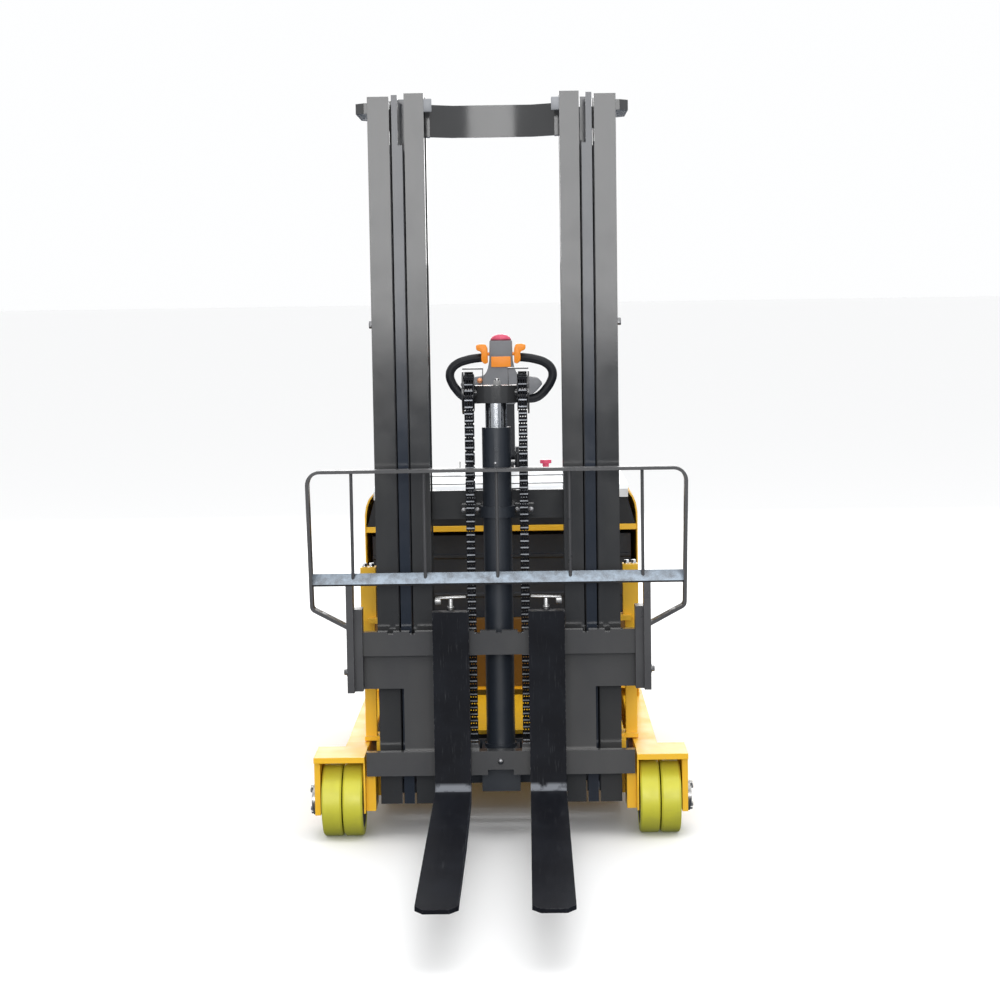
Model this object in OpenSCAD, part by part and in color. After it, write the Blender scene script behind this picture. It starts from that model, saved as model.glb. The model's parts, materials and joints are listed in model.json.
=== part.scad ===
// Electric reach stacker: a walk-behind truck whose three-stage mast slides between two legs.
// The origin lies on the floor at the middle of the machine. Forks point to -Y and up is +Z.

/* [Forks] */
// Length of a fork blade, from the tip to the front of the shank
blade_l = 1150; // [1000:10:1200]
// Width of a fork
fork_w = 100; // [80:2:110]
// Thickness of a fork at its heel
fork_t = 40; // [35:1:45]
// Thickness of a fork at its tip
fork_tip_t = 10; // [8:1:16]
// Clear distance between the two forks
fork_gap = 165; // [140:5:180]
// Height of the top face of the blades
fork_top = 151; // [146:1:160]
// Height of the top of the fork shanks
shank_top = 651; // [640:1:665]

/* [Carriage and backrest] */
// Height over both hook bars
carriage_h = 407.5; // [400:0.5:415]
// Height of the underside of the lower hook bar
carriage_low = 184.5; // [180:0.5:190]
// Width of the upper hook bar
bar_w = 756; // [740:2:758]
// Height of a hook bar
bar_h = 67.5; // [60:0.5:75]
// Thickness of a hook bar
bar_t = 25; // [20:1:28]
// Thickness of the carriage plates
carriage_plate = 12; // [8:1:12]
// Width of the load backrest
backrest_w = 1050; // [1000:10:1080]
// Height of the top of the load backrest
backrest_top = 1046; // [1000:2:1090]
// Width and depth of the backrest's flat bar
backrest_bar = [9, 40]; // [6:1:60]
// Diameter of the backrest's upright rods
backrest_rod_d = 9; // [6:1:14]

/* [Mast] */
// Width over the outer mast
mast_w = 682; // [676:1:686]
// Depth of the mast rails
rail_d = 150; // [146:1:156]
// Distance from the shank front face back to the mast rails
mast_gap = 106; // [104:1:110]
// Height of the foot of the mast rails
mast_low = 90; // [85:1:100]
// Height of the top of the mast rails
mast_top = 2073; // [2040:1:2100]
// Width of an outer mast rail
outer_rail_w = 60; // [56:1:62]
// Width of a middle mast rail
middle_rail_w = 29; // [27:1:32]
// Width of an inner mast rail
inner_rail_w = 54; // [52:1:56]
// Thickness of the rail flanges that the rollers run between
flange_t = 18; // [14:1:20]
// Thickness of the webs of the mast rails
web_t = 12; // [9:1:14]
// Clear gap between two neighbouring rails
rail_gap = 6; // [5:1:8]
// Height of the lower rollers of each stage above its foot
roller_low = 70; // [62:1:90]
// Height from the lower to the upper rollers of a mast stage
roller_rise = 410; // [360:10:440]
// Diameter of the side lift rods
side_rod_d = 40; // [36:1:45]
// Outer diameter of the side lift barrels
side_barrel_d = 60; // [56:1:64]
// Length of the side lift barrels
side_barrel_l = 1490; // [1400:10:1550]
// Height by which each mast stage stands above the one around it
stage_step = 4; // [0:1:6]
// Width and depth of the notch in the top of the middle rails' front flange
top_notch = [12, 140]; // [8:1:160]

/* [Free lift cylinder and chains] */
// Outer diameter of the free lift barrel
barrel_d = 81; // [76:1:84]
// Diameter of the free lift rod
free_rod_d = 60; // [50:1:64]
// Height of the top of the free lift barrel
barrel_top = 1151; // [1130:1:1160]
// Height of the axle of the chain pulleys
pulley_z = 1248; // [1244:1:1260]
// Diameter of a chain pulley at its running face
pulley_d = 84; // [76:1:88]
// Width of a lift chain
chain_w = 24; // [20:1:25]
// Thickness of a lift chain
chain_t = 16; // [12:1:18]
// Distance from the middle of the mast to the middle of each lift chain
chain_x = 75; // [74:1:78]

/* [Legs and load wheels] */
// Width over the two legs
legs_w = 892; // [884:2:900]
// Clear width between the two legs
legs_gap = 760; // [758:1:764]
// Height of the top of the legs
leg_top = 239; // [236:1:240]
// Height of the underside of the legs
leg_low = 61; // [58:1:64]
// Thickness of the leg plates
leg_t = 14; // [12:1:15]
// Diameter of a load wheel
wheel_d = 206; // [200:1:210]
// Clearance beside each load wheel
wheel_gap = 3.5; // [3:0.5:5]
// Thickness of a load wheel's soft tread
tread_t = 22; // [15:1:25]
// Distance from the shank front face back to the load wheel axle
axle_back = 120; // [118:1:124]
// Width over the outer plates of the wheel brackets
brackets_w = 1044; // [1042:1:1050]
// Diameter of the load wheel axles
axle_d = 30; // [25:1:35]

/* [Reach carriage] */
// Length of the reach stroke
reach_stroke = 450; // [400:10:450]
// Height of the top of the deck
deck_top = 249; // [246:1:250]
// Thickness of the deck
deck_t = 12; // [10:1:14]
// Height of the top of the two posts
post_top = 745; // [700:5:760]
// Width of the posts' upper blocks
post_w = 44; // [42:1:46]
// Diameter of the reach rollers
reach_roller_d = 149; // [146:0.5:149.5]
// Diameter of the reach cylinder's barrel
reach_barrel_d = 60; // [56:1:64]

/* [Body] */
// Distance from the shank front face back to the body's front wall
body_back = 900; // [890:5:920]
// Length of the body
body_l = 780; // [770:5:800]
// Width of the body
body_w = 866; // [850:2:880]
// Height of the body's floor plate underside
floor_low = 265; // [263:1:270]
// Height of the top of the hood
hood_top = 919; // [910:1:930]
// Thickness of the body's sheet covers
cover_t = 4; // [3:0.5:6]
// Length of the battery cover
battery_cover_l = 430; // [420:5:440]

/* [Drive unit and tiller] */
// Distance from the shank front face back to the steering axis
steer_back = 1540; // [1535:1:1545]
// Diameter of the drive wheel
drive_wheel_d = 230; // [220:1:236]
// Width of the drive wheel
drive_wheel_w = 75; // [65:1:80]
// Diameter of the castor wheel
castor_d = 150; // [140:1:155]
// Width of the castor wheel
castor_w = 50; // [40:1:52]
// Distance from the middle of the machine to the castor
castor_x = 300; // [295:1:310]
// Diameter of the drive motor
motor_d = 160; // [140:5:170]
// Height of the drive motor
motor_h = 270; // [240:5:300]
// Diameter of the pump motor
pump_d = 120; // [100:5:140]
// Height of the pump motor
pump_h = 250; // [220:5:280]
// Height of the tiller arm's pivot
tiller_pivot = 975; // [970:1:985]
// Width of the tiller arm
tiller_w = 88; // [80:1:92]
// Height of the underside of the tiller head
head_low = 1146; // [1140:1:1160]
// Width over the two grips
grips_w = 390; // [380:2:400]

/* [Hidden] */
$fn = 48;
// Gap between faces of pieces that move past each other without rolling
slide_gap = 0.3;
// Radial gap of a shaft in its bore
shaft_gap = 0.1;
overall_l = blade_l + body_back + body_l;
shank_y = blade_l - overall_l / 2;
fork_low = fork_top - fork_t;
fork_x = (fork_gap + fork_w) / 2;
tip_y = shank_y - blade_l;
tip_cut = 0.32 * fork_w;
heel_r = 1.5 * fork_t;
root_r = 18;
bar_y = shank_y + fork_t + slide_gap;
plate_y = bar_y + bar_t;
carriage_top = carriage_low + carriage_h;
hook_h = 26;
lip_h = 28;
lip_t = 18;
latch_d = 14;
latch_h = 8;
latch_travel = latch_h - 1;
notch_x = [0, 60, fork_x, 241, 302];
plate_drop = 164;
plate_rib_x = 268;
handle_z = shank_top + 26;
carriage_roller_z = [carriage_low + 78, carriage_low + 296];

rail_y = [shank_y + mast_gap, shank_y + mast_gap + rail_d];
rail_mid = rail_y[0] + rail_d / 2;
outer_x = [mast_w / 2 - outer_rail_w, mast_w / 2];
middle_x = [outer_x[0] - rail_gap - middle_rail_w, outer_x[0] - rail_gap];
inner_x = [middle_x[0] - rail_gap - inner_rail_w, middle_x[0] - rail_gap];
side_plate_x = [inner_x[0] - 2 - 14, inner_x[0] - 2];
roller_d = rail_d - 2 * flange_t - 2 * slide_gap;
roller_z = [mast_low + roller_low, mast_low + roller_low + roller_rise];
stub_d = 30;
side_rod_x = outer_x[0] + 19;
side_rod_y = rail_y[1] + 6 + side_barrel_d / 2;
side_barrel_z = [mast_low + 20, mast_low + 20 + side_barrel_l];
middle_cross_y = [rail_y[1] + 24, rail_y[1] + 48];
middle_cross_z = [mast_top - 88, mast_top - 28];
side_chain_x = inner_x[0] + 39;
side_chain_y = rail_y[1] + 10;
side_wheel_y = side_chain_y + (pulley_d + chain_t) / 2;
side_wheel_z = middle_cross_z[0] - 85;
side_anchor_z = mast_low + 825;
anchor_beam_z = [side_anchor_z - 45, side_anchor_z + 35];
lug_reach = 38;
outer_cross_y = side_wheel_y + pulley_d / 2 + chain_t + 3;

lift_y = shank_y + mast_gap + 44;
chain_front_y = lift_y - (pulley_d + chain_t) / 2;
chain_rear_y = lift_y + (pulley_d + chain_t) / 2;
guard_d = pulley_d + 2 * chain_t + 4;
crosshead_z = [pulley_z - 29, pulley_z + 20];
barrel_low = carriage_low + 70.5;
panel_y = chain_rear_y + chain_t / 2 + 4;
panel_z = [mast_low + 797, mast_low + 878];
tie_z = [mast_top - 111, mast_top - 22];
chain_low = carriage_low + 84;

leg_x = [legs_gap / 2, legs_w / 2];
axle_y = shank_y + axle_back;
axle_z = wheel_d / 2;
bracket_x = [brackets_w / 2 - 16, brackets_w / 2];
guide_t = 5;
wheel_w = (bracket_x[0] - leg_x[0] - guide_t - 3 * wheel_gap) / 2;
wheel_in_x = leg_x[0] + guide_t + wheel_gap;
wheel_out_x = wheel_in_x + wheel_w + wheel_gap;
boss_x = leg_x[0] - 27;
bracket_front = axle_y - 95;
leg_front = axle_y + 120;
bracket_top = leg_top + 3;

reach_roller_x = [leg_x[0] + 4, leg_x[1] - leg_t - 8];
reach_z = (leg_low + leg_top) / 2;
reach_roller_y = [leg_front + 90, leg_front + 480];
arm_x = [outer_x[1] + 4, outer_x[1] + 16];
arm_y = [leg_front - 50, reach_roller_y[1] + 80];
post_y = rail_y[1] + 6;
post_x = outer_x[1] + 36;
deck_y = [rail_y[1] + 90, shank_y + body_back];
reach_cross_y = deck_y[0] + 54;
reach_barrel_y = reach_cross_y + 12 + reach_stroke + 8;

body_y = [shank_y + body_back, shank_y + body_back + body_l];
body_x = body_w / 2;
floor_top = floor_low + 12;
pack_d = 88;
pump_x = -300;
tank_x = [-220, -120];
tank_h = 180;
valve_x = [-90, 60];
controller_x = [110, 380];
controller_h = 260;
bulkhead_y = body_y[0] + 500;
wall_top = floor_top + 218;
rail_bar_z = [hood_top - 144, hood_top - 126];
hood_low = hood_top - 40;
band_z = [rail_bar_z[1], hood_low - slide_gap];
skin_x = body_x - cover_t;
cowl_y = body_y[0] + battery_cover_l + 4;
steer_y = shank_y + steer_back;
castor_y = steer_y + 40;
neck_d = 170;
column_d = 80;
head_x = 52;
head_d = 76;
head_top = head_low + 219;
ring_r = (grips_w / 2 - 16 - 25) / 2;
ring_x = 25 + ring_r;
ring_z = head_low + 106;
wing_y = steer_y - 30;
wing_z = head_top - 44;

module box(x, y, z) translate([x[0], y[0], z[0]]) cube([x[1] - x[0], y[1] - y[0], z[1] - z[0]]);
module bar_x(x, y, z, d) translate([x[0], y, z]) rotate([0, 90, 0]) cylinder(h = x[1] - x[0], d = d);
module bar_along_y(x, y, z, d) translate([x, y[0], z]) rotate([-90, 0, 0]) cylinder(h = y[1] - y[0], d = d);
module bar_z(x, y, z, d) translate([x, y, z[0]]) cylinder(h = z[1] - z[0], d = d);
module both_sides() {
    children();
    mirror([1, 0, 0]) children();
}
function arc(c, r, a0, a1, n) = [for (i = [0 : n]) let (a = a0 + (a1 - a0) * i / n)
    [c[0] + r * cos(a), c[1] + r * sin(a)]];

// A fork, drawn on the right: shank, heel, tapered blade, and the hooks behind the shank
module fork_shape() {
    back = shank_y + fork_t;
    side = concat(
        [[shank_y, shank_top], [back, shank_top]],
        arc([back - heel_r, fork_low + heel_r], heel_r, 0, -90, 10),
        [[shank_y - 0.45 * blade_l, fork_low], [tip_y, fork_top - fork_tip_t], [tip_y, fork_top]],
        arc([shank_y - root_r, fork_top + root_r], root_r, -90, 0, 6));
    intersection() {
        translate([fork_x - fork_w / 2, 0, 0]) rotate([90, 0, 90]) linear_extrude(fork_w) polygon(side);
        linear_extrude(shank_top + 10) polygon([
            [fork_x - fork_w / 2, back + 1], [fork_x - fork_w / 2, tip_y + tip_cut],
            [fork_x - fork_w * 0.3, tip_y], [fork_x + fork_w * 0.3, tip_y],
            [fork_x + fork_w / 2, tip_y + tip_cut], [fork_x + fork_w / 2, back + 1]]);
    }
    hook_x = [fork_x - fork_w / 2 + 2, fork_x + fork_w / 2 - 2];
    lip_y = [plate_y + slide_gap, plate_y + lip_t];
    difference() {
        box(hook_x, [back - 1, lip_y[1]], [carriage_top + slide_gap, carriage_top + hook_h]);
        bar_z(fork_x, bar_y + bar_t / 2, [carriage_top, carriage_top + hook_h + 1], latch_d + 0.6);
    }
    box(hook_x, lip_y, [carriage_top - lip_h, carriage_top + slide_gap + 1]);
    box(hook_x, [back - 1, plate_y + 10], [carriage_low - 24, carriage_low - slide_gap]);
    box(hook_x, [lip_y[0], plate_y + 10], [carriage_low - slide_gap - 1, carriage_low + 14]);
}

module fork_right() {
    color("dimgray") fork_shape();
}

module fork_left() {
    color("dimgray") mirror([1, 0, 0]) fork_shape();
}

// The latch is drawn lifted; its pin drops through the hook into a notch of the upper bar
module latch_shape() {
    y = bar_y + bar_t / 2;
    bar_z(fork_x, y, [carriage_top + slide_gap, handle_z + 2], latch_d);
    box([fork_x - 30, fork_x + 30], [y - 11, y + 11], [handle_z, handle_z + 12]);
    collar_z = carriage_top + hook_h + latch_travel + slide_gap;
    bar_z(fork_x, y, [collar_z, collar_z + 10], latch_d + 10);
}

module latch_right() {
    color("silver") latch_shape();
}

module latch_left() {
    color("silver") mirror([1, 0, 0]) latch_shape();
}

// Two hook bars joined by plates behind them, with side plates that hold the roller stubs
module carriage() {
    half = bar_w / 2;
    rib_y = [plate_y - 1, plate_y + carriage_plate];
    deep = rail_mid + stub_d / 2;
    color("dimgray") {
        difference() {
            box([-half, half], [bar_y, plate_y], [carriage_top - bar_h, carriage_top]);
            for (x = notch_x)
                both_sides() box([x - 8, x + 8], [bar_y - 1, plate_y + 1],
                    [carriage_top - latch_h, carriage_top + 1]);
        }
        difference() {
            box([3 - half, half - 3], [bar_y, plate_y], [carriage_low, carriage_low + bar_h]);
            box([-36, 36], [bar_y - 1, plate_y + 1], [carriage_low - 1, carriage_low + 15]);
        }
        both_sides() {
            box([side_plate_x[1] - 1, half], rib_y, [carriage_top - plate_drop, carriage_top - bar_h + 24]);
            box([side_plate_x[1] - 1, plate_rib_x], rib_y,
                [carriage_low + bar_h - 16, carriage_top - plate_drop + 1]);
            box(side_plate_x, [plate_y - 1, deep], [carriage_low + 20.5, carriage_top - bar_h + 24]);
            box([chain_x - 15, chain_x + 15], [plate_y, chain_front_y + chain_t / 2 + 3],
                [carriage_low + 50, chain_low - 1]);
            for (z = carriage_roller_z)
                bar_x([side_plate_x[1] - 1, inner_x[1] - web_t - 3], rail_mid, z, stub_d);
        }
        for (z = [[carriage_low + 20.5, carriage_low + bar_h],
            [carriage_top - bar_h, carriage_top - bar_h + 24]])
            box([-side_plate_x[0] - 1, side_plate_x[0] + 1], rib_y, z);
    }
}

// A pair of rollers on one height, each a ring on its stub
module roller_pair(x, z, d) {
    both_sides() difference() {
        bar_x(x, rail_mid, z, d);
        bar_x([x[0] - 1, x[1] + 1], rail_mid, z, stub_d + 2 * shaft_gap);
    }
}

module carriage_rollers_low() {
    color("silver")
        roller_pair([side_plate_x[1] + 4, inner_x[1] - web_t - 2], carriage_roller_z[0], roller_d);
}

module carriage_rollers_high() {
    color("silver")
        roller_pair([side_plate_x[1] + 4, inner_x[1] - web_t - 2], carriage_roller_z[1], roller_d);
}

// Bent flat-bar guard with five rods, standing on two plates at the ends of the carriage
module backrest() {
    half = backrest_w / 2;
    w = backrest_bar[0];
    y0 = shank_y;
    foot_x = bar_w / 2;
    low = carriage_top + 5;
    mid = carriage_top + 150;
    edge = concat([[foot_x + 24, low]], arc([half - 26, low + 75], 20, -60, 0, 4),
        arc([half - 40, backrest_top - 40], 40, 0, 90, 8));
    inside = concat([[foot_x + 24, low + 11]], arc([half - 26, low + 75], 20 - w, -60, 0, 4),
        arc([half - 40, backrest_top - 40], 40 - w, 0, 90, 8));
    color("dimgray") {
        both_sides() {
            translate([0, y0 + backrest_bar[1], 0]) rotate([90, 0, 0]) linear_extrude(backrest_bar[1])
                polygon(concat(edge, [[-1, backrest_top], [-1, backrest_top - w]],
                    [for (i = [len(inside) - 1 : -1 : 0]) inside[i]]));
            box([foot_x + 0.2, foot_x + 24], [y0 + 26, plate_y + 12],
                [carriage_top - plate_drop, carriage_top + 66]);
            box([foot_x + 23, foot_x + 42], [y0, y0 + 54], [carriage_top - plate_drop, carriage_top + 135]);
        }
        for (i = [-2 : 2])
            bar_z(i * 200, y0 + 20, [mid, backrest_top - w / 2], backrest_rod_d);
        translate([0, y0 + 20, mid]) rotate([-45, 0, 0])
            cube([2 * (half - 13), 8, 38], center = true);
    }
}

// A rolled rail of the mast, open toward the middle of the machine
module rail(x, top) {
    z = [mast_low, top];
    box([x[1] - web_t, x[1]], rail_y, z);
    box(x, [rail_y[0], rail_y[0] + flange_t], z);
    box(x, [rail_y[1] - flange_t, rail_y[1]], z);
}

module outer_mast() {
    flap = outer_x[1] + lug_reach;
    cross_y = [outer_cross_y, outer_cross_y + 16];
    color("dimgray") {
        both_sides() {
            rail(outer_x, mast_top - 2 * stage_step);
            for (z = [[mast_low, mast_low + 140], anchor_beam_z])
                box([outer_x[1] - 8, outer_x[1]], [rail_y[1] - 1, cross_y[1]], z);
            box(outer_x, [rail_y[1] - 1, side_rod_y + side_barrel_d / 2],
                [mast_low, side_barrel_z[0]]);
            box([side_chain_x - 15, side_chain_x + 15], [cross_y[0] - chain_t - 4, cross_y[0] + 1],
                [anchor_beam_z[0], side_anchor_z]);
            translate([0, 0, mast_top - 48]) linear_extrude(29) polygon([
                [outer_x[1] - 1, rail_y[0] + 64], [flap - 24, rail_y[0] + 64], [flap, rail_y[0] + 88],
                [flap, rail_y[1] + 140], [flap - 24, rail_y[1] + 164], [-1, rail_y[1] + 164],
                [-1, rail_y[1] + 134], [outer_x[1] - 1, rail_y[1] + 134]]);
        }
        box([-outer_x[1], outer_x[1]], cross_y, [mast_low, mast_low + 140]);
        box([-outer_x[1], outer_x[1]], cross_y, anchor_beam_z);
    }
}

module lift_barrels() {
    color("black") both_sides() difference() {
        bar_z(side_rod_x, side_rod_y, side_barrel_z, side_barrel_d);
        bar_z(side_rod_x, side_rod_y, [side_barrel_z[0] + 15, side_barrel_z[1] + 1], side_rod_d + 1);
    }
}

module lift_rods() {
    color("silver") both_sides()
        bar_z(side_rod_x, side_rod_y, [side_barrel_z[0] + 40, middle_cross_z[0]], side_rod_d);
}

module stage_stubs(x0, x1) both_sides() for (z = roller_z) bar_x([x0 - 1, x1], rail_mid, z, stub_d);

module middle_mast() {
    link = [middle_x[0] + 4, middle_x[0] + 18];
    color("dimgray") {
        both_sides() {
            difference() {
                rail(middle_x, mast_top - stage_step);
                box([middle_x[0] - 1, middle_x[0] + top_notch[0]], [rail_y[0] - 1, rail_y[0] + flange_t + 1],
                    [mast_top - top_notch[1], mast_top]);
            }
            box(link, [rail_y[1] - 1, middle_cross_y[0] + 1], middle_cross_z);
            box(link, [rail_y[1] - 1, middle_cross_y[0] + 1], [mast_low + 20, mast_low + 110]);
            box([side_chain_x + 16, side_chain_x + 24], [middle_cross_y[0], side_wheel_y + 16],
                [side_wheel_z - 20, middle_cross_z[0] + 1]);
            bar_x([side_chain_x - 13, side_chain_x + 17], side_wheel_y, side_wheel_z, 24);
        }
        stage_stubs(middle_x[1], outer_x[1] - web_t - 3);
        box([-side_rod_x - 25, side_rod_x + 25], middle_cross_y, middle_cross_z);
        box([-link[1], link[1]], middle_cross_y, [mast_low + 20, mast_low + 110]);
    }
}

module middle_rollers_low() {
    color("silver") roller_pair([outer_x[0] + 3, outer_x[1] - web_t - 1], roller_z[0], roller_d);
}

module middle_rollers_high() {
    color("silver") roller_pair([outer_x[0] + 3, outer_x[1] - web_t - 1], roller_z[1], roller_d);
}

// Chain wheel with a plain running face between two rims, its axis along X
module chain_wheel(x, bore) {
    w = chain_w + 1;
    rotate([0, 90, 0]) translate([0, 0, x - w / 2 - 1.5]) difference() {
        union() {
            cylinder(h = w + 3, d = pulley_d);
            cylinder(h = 1.5, d = pulley_d + 14);
            translate([0, 0, w + 1.5]) cylinder(h = 1.5, d = pulley_d + 14);
        }
        translate([0, 0, -1]) cylinder(h = w + 5, d = bore);
    }
}

module side_pulleys() {
    color("gray") both_sides() translate([0, side_wheel_y, side_wheel_z])
        chain_wheel(side_chain_x, 24 + 2 * shaft_gap);
}

module chain_run(x, y, z) box([x - chain_w / 2, x + chain_w / 2], [y - chain_t / 2, y + chain_t / 2], z);

// Half turn of a chain over a pulley
module chain_arc(x, y, z) translate([x, y, z]) rotate([90, 0, 90])
    rotate_extrude(angle = 180)
        translate([pulley_d / 2 + 0.3, -chain_w / 2]) square([chain_t - 0.3, chain_w]);

module side_chains_rear() {
    color("dimgray") both_sides() {
        chain_run(side_chain_x, side_wheel_y + (pulley_d + chain_t) / 2, [side_anchor_z, side_wheel_z]);
        chain_arc(side_chain_x, side_wheel_y, side_wheel_z);
    }
}

module side_chains_front() {
    color("dimgray") both_sides() chain_run(side_chain_x, side_chain_y, [mast_low + 100, side_wheel_z - 0.2]);
}

module inner_mast() {
    lip = inner_x[0] + 1;
    bow = rail_y[1] + 1;
    color("dimgray") {
        both_sides() {
            rail(inner_x, mast_top);
            for (z = [[mast_low + 33, mast_low + 160], panel_z, tie_z])
                box([inner_x[0] - 12, lip], [panel_y, rail_y[1] - 0.5], z);
            box([side_chain_x - 13, side_chain_x + 13], [rail_y[1] - 1, side_chain_y + chain_t / 2 + 2],
                [mast_low + 60, mast_low + 100]);
            box([chain_x - 27, chain_x + 27], [chain_rear_y - chain_t / 2, panel_y + 1],
                [panel_z[0] + 12, panel_z[0] + 43]);
            for (x = [chain_x - 18, chain_x + 20])
                bar_along_y(x, [chain_rear_y - chain_t / 2 - 8, chain_rear_y], panel_z[0] + 28, 12);
            translate([0, 0, tie_z[0]]) linear_extrude(tie_z[1] - tie_z[0]) polygon([
                [inner_x[0] - 1, panel_y], [110, bow], [-1, bow], [-1, bow + 12],
                [114, bow + 12], [inner_x[0] - 1, panel_y + 14]]);
        }
        stage_stubs(inner_x[1], middle_x[1] - web_t - 2);
        box([-lip, lip], [panel_y, panel_y + 12], panel_z);
        box([-lip, lip], [panel_y, panel_y + 14], [mast_low + 33, mast_low + 160]);
        box([-54, 54], [lift_y - 45, panel_y + 1], [mast_low + 33, barrel_low - 12]);
        bar_z(0, lift_y, [barrel_low - 13, barrel_low], barrel_d + 10);
    }
}

module inner_rollers_low() {
    color("silver") roller_pair([inner_x[1] + 7, middle_x[1] - web_t - 1], roller_z[0], roller_d);
}

module inner_rollers_high() {
    color("silver") roller_pair([inner_x[1] + 7, middle_x[1] - web_t - 1], roller_z[1], roller_d);
}

// Barrel with its gland head, bleed plug and the clamp that ties it to the inner mast
module free_lift_barrel() {
    color("dimgray") difference() {
        union() {
            bar_z(0, lift_y, [barrel_low, barrel_top], barrel_d);
            bar_z(0, lift_y, [panel_z[0] + 12, panel_z[0] + 43], barrel_d + 18);
            box([-45, 45], [lift_y, panel_y], [panel_z[0] + 12, panel_z[0] + 43]);
            bar_along_y(0, [lift_y - barrel_d / 2 - 5, lift_y], barrel_top - 60, 12);
        }
        bar_z(0, lift_y, [barrel_low + 20, barrel_top + 1], free_rod_d + 1);
    }
}

module free_lift_rod() {
    color("silver") bar_z(0, lift_y, [barrel_low + 55, crosshead_z[0]], free_rod_d);
}

// Block on the rod that carries the axle of the two chain pulleys and their guards
module crosshead() {
    reach = chain_x + chain_w / 2 + 3;
    block = chain_x - chain_w / 2 - 4;
    color("dimgray") {
        intersection() {
            box([-block, block], [lift_y - 34, lift_y + 32], crosshead_z);
            bar_z(0, lift_y + 47, crosshead_z, 162);
        }
        bar_x([-reach, reach], lift_y, pulley_z, stub_d);
        both_sides() bar_x([reach - 0.5, reach + 4], lift_y, pulley_z, guard_d);
    }
}

module chain_pulleys() {
    color("gray") both_sides() translate([0, lift_y, pulley_z]) chain_wheel(chain_x, stub_d + 2 * shaft_gap);
}

module lift_chains_front() {
    color("dimgray") both_sides() {
        chain_run(chain_x, chain_front_y, [chain_low, pulley_z]);
        chain_arc(chain_x, lift_y, pulley_z);
    }
}

module lift_chains_rear() {
    color("dimgray") both_sides() chain_run(chain_x, chain_rear_y, [panel_z[0] + 43, pulley_z - 0.2]);
}

// Two legs joined by the body's floor at the back
module base_frame() {
    leg_back = bulkhead_y + 12;
    rear_y = body_y[1] - cover_t;
    color("goldenrod") difference() {
        union() {
            both_sides() {
                box([leg_x[1] - leg_t, leg_x[1]], [leg_front, leg_back], [leg_low, leg_top]);
                box(leg_x, [leg_front, leg_back], [leg_top - leg_t, leg_top]);
                box(leg_x, [leg_front, leg_back], [leg_low, leg_low + leg_t]);
                box([leg_x[0] + 20, skin_x], [body_y[0] + 10, leg_back], [leg_top - 1, floor_low + 1]);
                box([skin_x - 12, skin_x], [leg_back - 1, rear_y], [leg_low + 40, floor_low + 1]);
            }
            box([-leg_x[1], leg_x[1]], [bulkhead_y, leg_back], [leg_low, leg_top]);
            box([-skin_x, skin_x], [bulkhead_y, leg_back], [leg_top - 1, floor_low + 1]);
            box([-skin_x, skin_x], [body_y[0] + cover_t, rear_y], [floor_low, floor_top]);
            box([-skin_x, skin_x], [rear_y - 12, rear_y], [leg_low + 40, floor_low + 1]);
            bar_z(castor_x, steer_y, [floor_low - 20, floor_top + 10], 64);
        }
        bar_z(0, steer_y, [floor_low - 1, floor_top + 1], neck_d + 2 * slide_gap);
        bar_z(castor_x, steer_y, [floor_low - 21, floor_top + 11], 40 + 2 * shaft_gap);
    }
}

// Fork-shaped brackets over the load wheels, each with a block beside it that holds the axle's inner end
module wheel_brackets() {
    color("goldenrod") both_sides() difference() {
        union() {
            box([leg_x[0], bracket_x[1]], [leg_front - 12, leg_front], [leg_low + leg_t, leg_top - leg_t]);
            box([leg_x[0], bracket_x[1]], [bracket_front, axle_y + 58], [bracket_top - 16, bracket_top]);
            box(leg_x, [axle_y + 57, leg_front], [leg_top - leg_t, leg_top]);
            box(bracket_x, [bracket_front + 15, leg_front], [axle_z - 28, bracket_top - 15]);
            box([leg_x[0], leg_x[0] + guide_t], [bracket_front + 15, leg_front],
                [leg_low + 18, bracket_top - 15]);
            box([boss_x, leg_x[0] - slide_gap], [plate_y + 4, axle_y + 55], [axle_z - 24, carriage_low - 6]);
        }
        bar_x([boss_x - 1, bracket_x[1] + 1], axle_y, axle_z, axle_d + 2 * shaft_gap);
    }
}

// Axle pins with domed end caps, each cap held by two bolts
module wheel_axles() {
    color("silver") both_sides() {
        bar_x([boss_x, bracket_x[1] + 1], axle_y, axle_z, axle_d);
        bar_x([bracket_x[1] + 0.1, bracket_x[1] + 10], axle_y, axle_z, 86);
        bar_x([bracket_x[1] + 9, bracket_x[1] + 14], axle_y, axle_z, 60);
        for (s = [-1, 1])
            bar_x([bracket_x[1] + 9, bracket_x[1] + 18], axle_y, axle_z + s * 35, 12);
    }
}

// Soft tread ring on a hub, drawn along X from x to x + w
module wheel(x, w, y, z, d, tread, bore) {
    edge = 5;
    translate([x, y, z]) rotate([0, 90, 0]) {
        rotate_extrude() polygon([[d / 2 - tread, 0], [d / 2 - edge, 0], [d / 2, edge],
            [d / 2, w - edge], [d / 2 - edge, w], [d / 2 - tread, w]]);
        rotate_extrude() polygon([[bore / 2, 0], [bore / 2 + 12, 0], [bore / 2 + 12, 6],
            [d / 2 - tread - 10, 6], [d / 2 - tread - 6, 1], [d / 2 - tread - 0.1, 1],
            [d / 2 - tread - 0.1, w - 1], [d / 2 - tread - 6, w - 1], [d / 2 - tread - 10, w - 6],
            [bore / 2 + 12, w - 6], [bore / 2 + 12, w], [bore / 2, w]]);
    }
}

module load_wheel(x) {
    color("yellowgreen") wheel(x, wheel_w, axle_y, axle_z, wheel_d, tread_t, axle_d + 2 * shaft_gap);
}

module load_wheel_left_outer() mirror([1, 0, 0]) load_wheel(wheel_out_x);
module load_wheel_left_inner() mirror([1, 0, 0]) load_wheel(wheel_in_x);
module load_wheel_right_inner() load_wheel(wheel_in_x);
module load_wheel_right_outer() load_wheel(wheel_out_x);

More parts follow.
